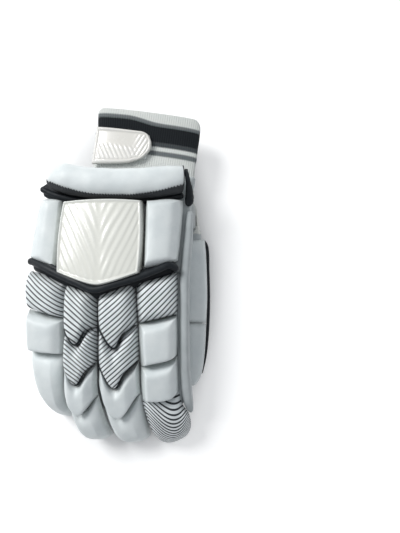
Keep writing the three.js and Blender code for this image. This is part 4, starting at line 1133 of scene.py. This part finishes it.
# ---------- strap round the wristband ----------
STRAP = dict(mid=-3.2, half=11.0, off=0.5, thick=1.6, under=12)


def wrap_line(n, back_to, under_to):
    t = np.linspace(np.pi * 0.5, np.pi * 1.5, 800)
    c, s = oval(t, 2.7)
    x, z = c * BAND["halfW"], s * BAND["halfH"]
    keep = np.where(z > 0, x < back_to - 1, x < under_to - 1)
    P = np.vstack([[[back_to, BAND["halfH"]]], np.stack([x, z], -1)[keep], [[under_to, -BAND["halfH"]]]])
    P = resample(np.hstack([P, np.zeros((len(P), 1))]), n)[:, :2]
    d = np.gradient(P, axis=0)
    d = d / np.linalg.norm(d, axis=1, keepdims=True)
    nrm = np.stack([d[:, 1], -d[:, 0]], -1)
    flip = (nrm * P / np.array([BAND["halfW"], BAND["halfH"]])).sum(1) < 0
    nrm[flip] *= -1
    return P, nrm


P, Nn = wrap_line(220, 2, STRAP["under"])
m = 36
th = 2 * np.pi * (np.arange(m) + 0.5) / m
c, s = oval(th, 5.5)
half = STRAP["half"] * np.ones(len(P))
sec_l, sec_o = c[None] * half[:, None], STRAP["off"] + STRAP["thick"] * (s + 1)[None] / 2 * np.ones((len(P), 1))
rings = band_at(STRAP["mid"] + sec_l, P[:, :1] + Nn[:, :1] * sec_o, P[:, 1:] + Nn[:, 1:] * sec_o)
v, q, t = lofted(rings)
ob = make("hook_and_loop_strap", v, q, M["strap"], None, t)
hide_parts("wrist_strap")
rows_ = []
for side in (-1, 1):
    l = STRAP["mid"] + side * (STRAP["half"] - 1.6)
    o = STRAP["off"] + STRAP["thick"]
    k = slice(8, -4)
    path = band_at(l, P[k, 0] + Nn[k, 0] * o, P[k, 1] + Nn[k, 1] * o)
    nrm = BW * Nn[k, :1] + np.array([0, 0, 1.0]) * Nn[k, 1:]
    rows_.append(stitches(path, nrm, 2.2, 1.0, 0.28))
v, q, t = join_parts(rows_)
make("strap_stitching", v, q, M["thread"], None, t)

# ---------- moulded patch on the strap ----------
OUTLINE = [[-45, -14.2], [-5.5, -14.2], [1, -9], [5.2, -1.5], [5.2, 2.5], [2.8, 8.5], [-2, 12.6], [-7, 13.4], [-45, 13.4]]
nose = [[-14.2, -6.5], [-11.8, -1.8], [-9, 1], [-1.5, 5.2], [2.5, 5.2], [8.5, 2.8], [11.6, -0.2], [13.4, -6.2]]


def polygon_distance(x, y, poly):
    d = np.full(x.shape, 1e9)
    for (x0, y0), (x1, y1) in zip(poly, poly[1:] + poly[:1]):
        ex, ey = x1 - x0, y1 - y0
        t = np.clip(((x - x0) * ex + (y - y0) * ey) / (ex * ex + ey * ey), 0, 1)
        d = np.minimum(d, np.hypot(x - x0 - ex * t, y - y0 - ey * t))
    return d


LOWER = [[-47.1, -22.2], [-28, -20.0], [-14, -17.6], [-5.5, -14.6], [0, -14.2]]


def patch_place(u, w, h):
    l0 = lerp(-14.2, 13.4, (w + 1) / 2)
    right = along(nose, l0)
    c = 1.2 * (1 - np.sqrt(np.clip(1 - np.clip((np.abs(w) - 0.91) / 0.09, 0, 1) ** 2, 0, 1)))
    x = lerp(-47.1 + c, right - c, (u + 1) / 2)
    # the finger side of the patch drops away towards the edge of the band
    l = 13.4 - (13.4 - l0) * (13.4 - along(LOWER, x)) / 27.6
    return x, l, l0


U, W = -np.cos(np.pi * np.arange(131) / 130), -np.cos(np.pi * np.arange(93) / 92)
w, u = np.meshgrid(W, U, indexing="ij")
px, pl, pl0 = patch_place(u, w, 0)
d = np.minimum(np.minimum(px + 47.1, along(nose, pl0) - px), np.minimum(pl0 + 14.2, 13.4 - pl0))
edge_h = 0.7 + 2.1 * np.sqrt(np.clip(1 - (1 - np.clip(d / 0.9, 0, 1)) ** 2, 0, 1))
bead = 0.55 * np.exp(-((d - 1.7) / 0.6) ** 2)
bottom = smooth((-pl + 0.0) / 6.0)
near_nose = smooth((px + 14) / 12.0)
r1 = np.abs(np.sin((px * 0.9 + pl * 0.55) * 0.80)) ** 0.7
r2 = np.abs(np.sin((px * 1.0 - pl * 0.45) * 0.80)) ** 0.7
ribs = (r1 * np.maximum(bottom * (1 - near_nose), 0) + r2 * near_nose) * smooth((d - 2.6) / 1.5)
relief = bead + ribs * 0.6 - 0.2 * smooth((d - 2.4) / 1.0)
base = BAND["halfH"] + STRAP["off"] + STRAP["thick"] + 0.4
droop = -np.minimum(9.0 * (1 - np.clip(1 - (np.abs(px) / 50.5) ** 3.2, 0, 1) ** (1 / 3.2)), 3.2)
top = band_at(STRAP["mid"] + pl, px, base + edge_h + relief + droop)
bot = band_at(STRAP["mid"] + pl, px, base + 0.7 - 0.6 * np.clip(d / 0.8, 0, 1) + droop)
nn_ = top.shape[0] * top.shape[1]
inner = np.zeros(top.shape[:2], bool)
inner[1:-1, 1:-1] = True
index = np.arange(nn_).reshape(top.shape[:2])
lowi = index.copy()
lowi[inner] = nn_ + np.arange(inner.sum())
q = grid_quads(130, 92)
quads = np.vstack([q, lowi.ravel()[q][:, ::-1]])
ob = make("moulded_strap_patch", np.vstack([top.reshape(-1, 3), bot[inner]]), quads, M["patch"], {"relief": np.concatenate([relief.ravel(), np.full(inner.sum(), 0.5)])})
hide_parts("strap_patch")

# ---------- finger stalls ----------
for name, F in FINGERS.items():
    fr = FR[name]
    n, thumb = 50, name == "thumb"
    th = 2 * np.pi * (np.arange(n) + 0.5) / n
    c, qq = oval(th, 3.2)

    def section(s, inset, k, c=c, qq=qq, F=F, fr=fr, thumb=thumb):
        g = smooth(s / F["end"])
        wdt = np.where(c < 0, F["halfL"], F["halfR"]) * lerp(1, 0.95 if thumb else 0.82, g) * k - inset
        hgt = F["half"] * np.where(qq < 0, lerp(1, 0.84, g), 1) * (0.55 + 0.45 * k) - inset
        return fr.at(np.full(n, s), c * wdt, qq * hgt)

    body = np.linspace(0.6, F["end"] - 12, 58)
    end = [(F["end"] - 12 + 12 * math.sin(x), math.cos(x) ** 0.75) for x in np.linspace(0.12, 1.45, 14)]
    rows = [(s, 1.0) for s in body] + [(s, max(k, 0.12)) for s, k in end]
    outer = np.array([section(s, 0, k) for s, k in rows])
    inner_rows = [(s, 1.0) for s in body] + [(s - 2, max(k, 0.12)) for s, k in end[:-2]]
    inner_ = np.array([section(s, 2.0, k) for s, k in inner_rows])
    cen = np.array([fr.centre(np.array([s]))[0] for s, _ in rows])
    # wrinkles across the finger, all inwards
    S = np.array([s for s, _ in rows])[:, None] * np.ones((1, n))
    wr = noise(np.stack([S * 1.0, outer[..., 0] * 0.35, outer[..., 2] * 0.35], -1), 3.6)
    fine = noise(outer, 2.2)
    dep = 0.10 + 0.55 * np.clip(wr, 0, 1) ** 1.5 + 0.08 * (fine + 1)
    outer = outer + unit(cen[:, None] - outer) * dep[..., None]
    outer[..., 2] = np.maximum(outer[..., 2], 0.1)
    v1, q1, t1 = outer.reshape(-1, 3), ring_quads(n, len(outer)), None
    o = len(v1)
    v2 = inner_.reshape(-1, 3)
    q2 = ring_quads(n, len(inner_))[:, ::-1] + o
    i = np.arange(n)
    rim = np.stack([(i + 1) % n, i, o + i, o + (i + 1) % n], -1)
    tip1, tip2 = outer[-1].mean(0), inner_[-1].mean(0)
    v = np.vstack([v1, v2, tip1, tip2])
    k1, k2 = len(v) - 2, len(v) - 1
    a1, a2 = (len(outer) - 1) * n, o + (len(inner_) - 1) * n
    tr = np.vstack([np.stack([np.full(n, k1), a1 + i, a1 + (i + 1) % n], -1), np.stack([np.full(n, k2), a2 + (i + 1) % n, a2 + i], -1)])
    ob = make("leather_stall_" + name, v, np.vstack([q1, q2, rim]), M["stall"], None, tr)
    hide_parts("thumb_stall" if thumb else f"finger_stall_{name}")
    # raised seams where the side strips join the palm side of the finger
    parts = []
    for sgn in (-1, 1):
        s = np.linspace(2, F["end"] - 5, 120)
        g = smooth(s / F["end"])
        aa = sgn * (F["halfL"] if sgn < 0 else F["halfR"]) * lerp(1, 0.95 if thumb else 0.82, g) * 0.90
        hh = -F["half"] * lerp(1, 0.84, g) * 0.80
        path = fr.at(s, aa, hh)
        path[:, 2] = np.maximum(path[:, 2], 0.65)
        vv, qd, tt_, _, _ = tube(path, 0.55, n=8, ripple=0.15)
        parts.append((vv, qd, tt_))
    v, q, t = join_parts(parts)
    make("stall_seams_" + name, v, q, M["thread"], None, t)


# ---------- palm and back lining: the CAD shells, softened ----------
def soften(node, name, material, voxel=1.3):
    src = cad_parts[node]
    me = src.data.copy()
    ob = bpy.data.objects.new(name, me)
    bpy.context.scene.collection.objects.link(ob)
    me.materials.clear()
    me.materials.append(material)
    r = ob.modifiers.new("remesh", "REMESH")
    r.mode, r.voxel_size, r.adaptivity = "VOXEL", voxel * 0.001, 0.0
    sm = ob.modifiers.new("smooth", "SMOOTH")
    sm.factor, sm.iterations = 0.5, 8
    bpy.context.view_layer.update()
    dg = bpy.context.evaluated_depsgraph_get()
    out = bpy.data.meshes.new_from_object(ob.evaluated_get(dg))
    ob.modifiers.clear()
    ob.data = out
    bpy.data.meshes.remove(me)
    out.name = name
    n = len(out.vertices)
    co, no = np.zeros(n * 3), np.zeros(n * 3)
    out.vertices.foreach_get("co", co)
    out.vertices.foreach_get("normal", no)
    co, no = co.reshape(-1, 3) * 1000 - SHIFT, no.reshape(-1, 3)
    flat = co[:, 2] < 0.6
    d = noise(co, 7.0) * 0.28 + noise(co + 20, 3.2) * 0.14 - 0.3
    wrinkle = np.clip(noise(co * np.array([0.5, 1.0, 0.7]) + 60, 3.4), 0, 1) ** 1.5 * -0.5
    d = np.where(flat, np.minimum(d, 0) * 0.15, d + wrinkle)
    co = co + no * d[:, None]
    co[:, 2] = np.maximum(co[:, 2], 0.02)
    out.vertices.foreach_set("co", ((co + SHIFT) * 0.001).ravel())
    out.update()
    out.shade_smooth()
    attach(ob, "root")
    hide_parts(node)
    return ob


soften("palm_leather", "soft_palm", M["palm"])
soften("back_lining", "soft_back", M["stall"])

# ---------- side bar along the forefinger ----------
SIDE_BAR = [
    [73, 60.5, 64.0, 36, 44], [69, 58.6, 65.6, 31.5, 49], [50, 56.8, 65.2, 31.5, 52], [28, 54.6, 63.6, 31.5, 54], [5, 53.2, 62.2, 32, 54.5],
    [-20, 53.3, 62.2, 31, 53], [-45, 53.3, 62.2, 28, 50.5], [-68, 53.4, 62.8, 24, 46], [-86, 54.4, 64.2, 21.5, 41], [-99, 56.4, 65.2, 17.5, 35.5], [-105, 58.8, 65.4, 16.5, 30], [-109, 61.6, 64.8, 18.5, 26],
]
table = [[-r[0], *r[1:]] for r in SIDE_BAR]
yy = np.concatenate([-73.6 + 0.9 * (1 - np.cos(np.linspace(0, np.pi / 2, 6))), np.linspace(-72.4, 108.2, 170), [108.8, 109.2]])
th = 2 * np.pi * (np.arange(48) + 0.5) / 48
c, s = oval(th, 2.8)
col = [along(table, yy, k) for k in (1, 2, 3, 4)]
close = np.clip(np.minimum(yy + 73.8, 109.4 - yy) / 1.8, 0.05, 1) ** 0.5
cx, cz = (col[0] + col[1]) / 2, (col[2] + col[3]) / 2
hw, hz = (col[1] - col[0]) / 2 * close, (col[3] - col[2]) / 2 * close
rings = np.stack([cx[:, None] + c * hw[:, None], -yy[:, None] + 0 * c, cz[:, None] + s * hz[:, None]], -1)
ctr = np.stack([cx, -yy, cz], -1)[:, None]
rings = rings + unit(rings - ctr) * (noise(rings, 12.0) * 0.25 + noise(rings * np.array([0.6, 1, 0.6]), 4.0) * 0.10 - 0.1)[..., None]
v, q, t = lofted(rings)
edge = np.concatenate([np.tile(np.minimum(np.abs(s) * 8, 6), len(yy)), [0, 0]])
ob = make("padded_side_bar", v, q, M["side"], {"edge": 6 + 0 * edge}, t)
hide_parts("index_side_bar")



def leather_loft(name, rows, e, material, n=56, count=90, lump=0.35):
    """Closed leather form through rows [y, left x, right x, underside z, top z], with soft lumps."""
    table = [[-r[0], *r[1:]] for r in rows]
    yy = np.linspace(table[0][0], table[-1][0], count)
    th = 2 * np.pi * (np.arange(n) + 0.5) / n
    c, sn = oval(th, e)
    xl, xr, zb, zt = (along(table, yy, k) for k in (1, 2, 3, 4))
    end = np.sqrt(np.clip(1 - (1 - np.clip(np.minimum(yy - yy[0], yy[-1] - yy) / 2.0, 0, 1)) ** 2, 0.04, 1))
    cx, cz, hw, hz = (xl + xr) / 2, (zb + zt) / 2, (xr - xl) / 2 * end, (zt - zb) / 2 * end
    R = np.stack([cx[:, None] + c * hw[:, None], -yy[:, None] + 0 * c, cz[:, None] + sn * hz[:, None]], -1)
    ctr = np.stack([cx, -yy, cz], -1)[:, None]
    R = R + unit(R - ctr) * (noise(R, 9.0) * lump + noise(R + 15, 3.6) * lump * 0.5 - lump)[..., None]
    v, q, t = lofted(R)
    return make(name, v, q, material, {"edge": np.full(len(v), 6.0)}, t)


leather_loft("side_gusset", [[106, 50, 67.6, 27, 39.5], [98, 49.5, 66.6, 27, 40.5], [88, 49, 64.4, 27, 41.5], [70, 49, 63.5, 27, 44.5], [45, 48, 62.5, 27, 46.5], [24, 47, 60.5, 29, 47.0], [15, 46.8, 56, 33, 44]], 3.0, M["side"])
# painted shade: a grey leather web closes the low gap beside the forefinger and stands in for the shade there
sw = np.linspace(4, 122, 90)
web = FR["index"].at(sw, lerp(18.6, 16.0, smooth(sw / 149)), lerp(3.0, 6.4, smooth((sw - 6) / 22)))
v, q, t, arc, _ = tube(web, 3.3, n=18, flat=2.3, ripple=0.05)
make("index_side_shade_web", v, q, M["side"], None, t)
leather_loft("thumb_root_cover", [[60, 51.2, 72.0, 3.6, 25.4], [53, 50.2, 73.0, 3.4, 25.2], [47, 50.0, 73.0, 5.4, 23.4], [41.5, 50.2, 73.2, 6.4, 22.6]], 3.0, M["side"])

# ---------- thumb guard ----------
THUMB = [dict(name="thumb_guard", s0=1.0, s1=77.5, top=15.6, wideL=12.6, wideR=13.2), dict(name="thumb_guard_tip", s0=78.5, s1=135, top=13.6, wideL=10.4, wideR=13.0)]
guards = {}
for T_ in THUMB:
    tip = T_["name"].endswith("tip")

    def coords(u, w, T_=T_, tip=tip):
        rnd = np.where(w > 0, 0.75 * w * w, 0.10) if tip else 0.10
        return lerp(T_["s0"], T_["s1"], (w + 1) / 2), u * np.sqrt(np.clip(1 - rnd * w * w, 0, 1)) * np.where(u < 0, T_["wideL"], T_["wideR"])

    def place(u, w, h, coords=coords):
        s, a = coords(u, w)
        return FR["thumb"].at(s, a, h)

    def up(u, w, T_=T_):
        f = np.sqrt(np.clip((1 - np.abs(u) ** 3.4) * (1 - np.abs(w) ** 9), 0, 1))
        return 9.2 + (T_["top"] - 9.2) * f

    def low(u, w):
        return lerp(9.2, 8.2, np.sqrt(np.clip((1 - np.abs(u) ** 3) * (1 - np.abs(w) ** 3), 0, 1)))

    guards[T_["name"]] = (place, up, low, coords, T_)
full = swell({name: g[:3] for name, g in guards.items()})
for name, (place, up, low, coords, T_) in guards.items():
    v, q, u, w, is_top = pillow(60, 90, place, up, low)
    edge = np.minimum((1 - np.abs(u)) * 12.5, (1 - np.abs(w)) * (T_["s1"] - T_["s0"]) / 2)
    nrm = FR["thumb"].axes(coords(u, w)[0])[2]
    v = v + nrm * ((noise(v, 10.0) * 0.25 + noise(v + 30, 4.5) * 0.12) * is_top * np.clip(edge / 1.5, 0, 1))[:, None]
    v = v + swell_at(full[name], u, w) * is_top[:, None]
    ob = make("padded_" + T_["name"], v, q, M["white"], {"edge": edge + (1 - is_top) * 0.3})
    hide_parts(T_["name"])

# ---------- floor and light ----------
me = bpy.data.meshes.new("floor")
me.from_pydata([(-4, -4, -0.0004), (4, -4, -0.0004), (4, 4, -0.0004), (-4, 4, -0.0004)], [], [(0, 1, 2, 3)])
floor = bpy.data.objects.new("floor", me)
bpy.context.scene.collection.objects.link(floor)
me.materials.append(floor_material_with_painted_glow())


def area(name, loc, target, size, power, color=(1, 1, 1)):
    L_ = bpy.data.lights.new(name, "AREA")
    L_.shape, L_.size, L_.energy, L_.color = "DISK", size, power, color
    o = bpy.data.objects.new(name, L_)
    bpy.context.scene.collection.objects.link(o)
    o.location = loc
    o.rotation_euler = (Vector(target) - Vector(loc)).to_track_quat("-Z", "Y").to_euler()
    return o


area("key", (-1.40, 1.20, 1.80), (0, -0.02, 0.03), 1.2, 52.0, (1.0, 0.995, 0.985))
area("top", (0.0, 0.3, 1.6), (0.0, 0.0, 0.0), 1.4, 3.0, (0.97, 0.985, 1.0))
world = bpy.data.worlds.new("studio")
bpy.context.scene.world = world
world.use_nodes = True
world.node_tree.nodes["Background"].inputs[0].default_value = (0.93, 0.96, 1.0, 1)
world.node_tree.nodes["Background"].inputs[1].default_value = 0.36
bpy.context.scene.view_settings.view_transform = "Standard"
bpy.context.scene.view_settings.look = "None"
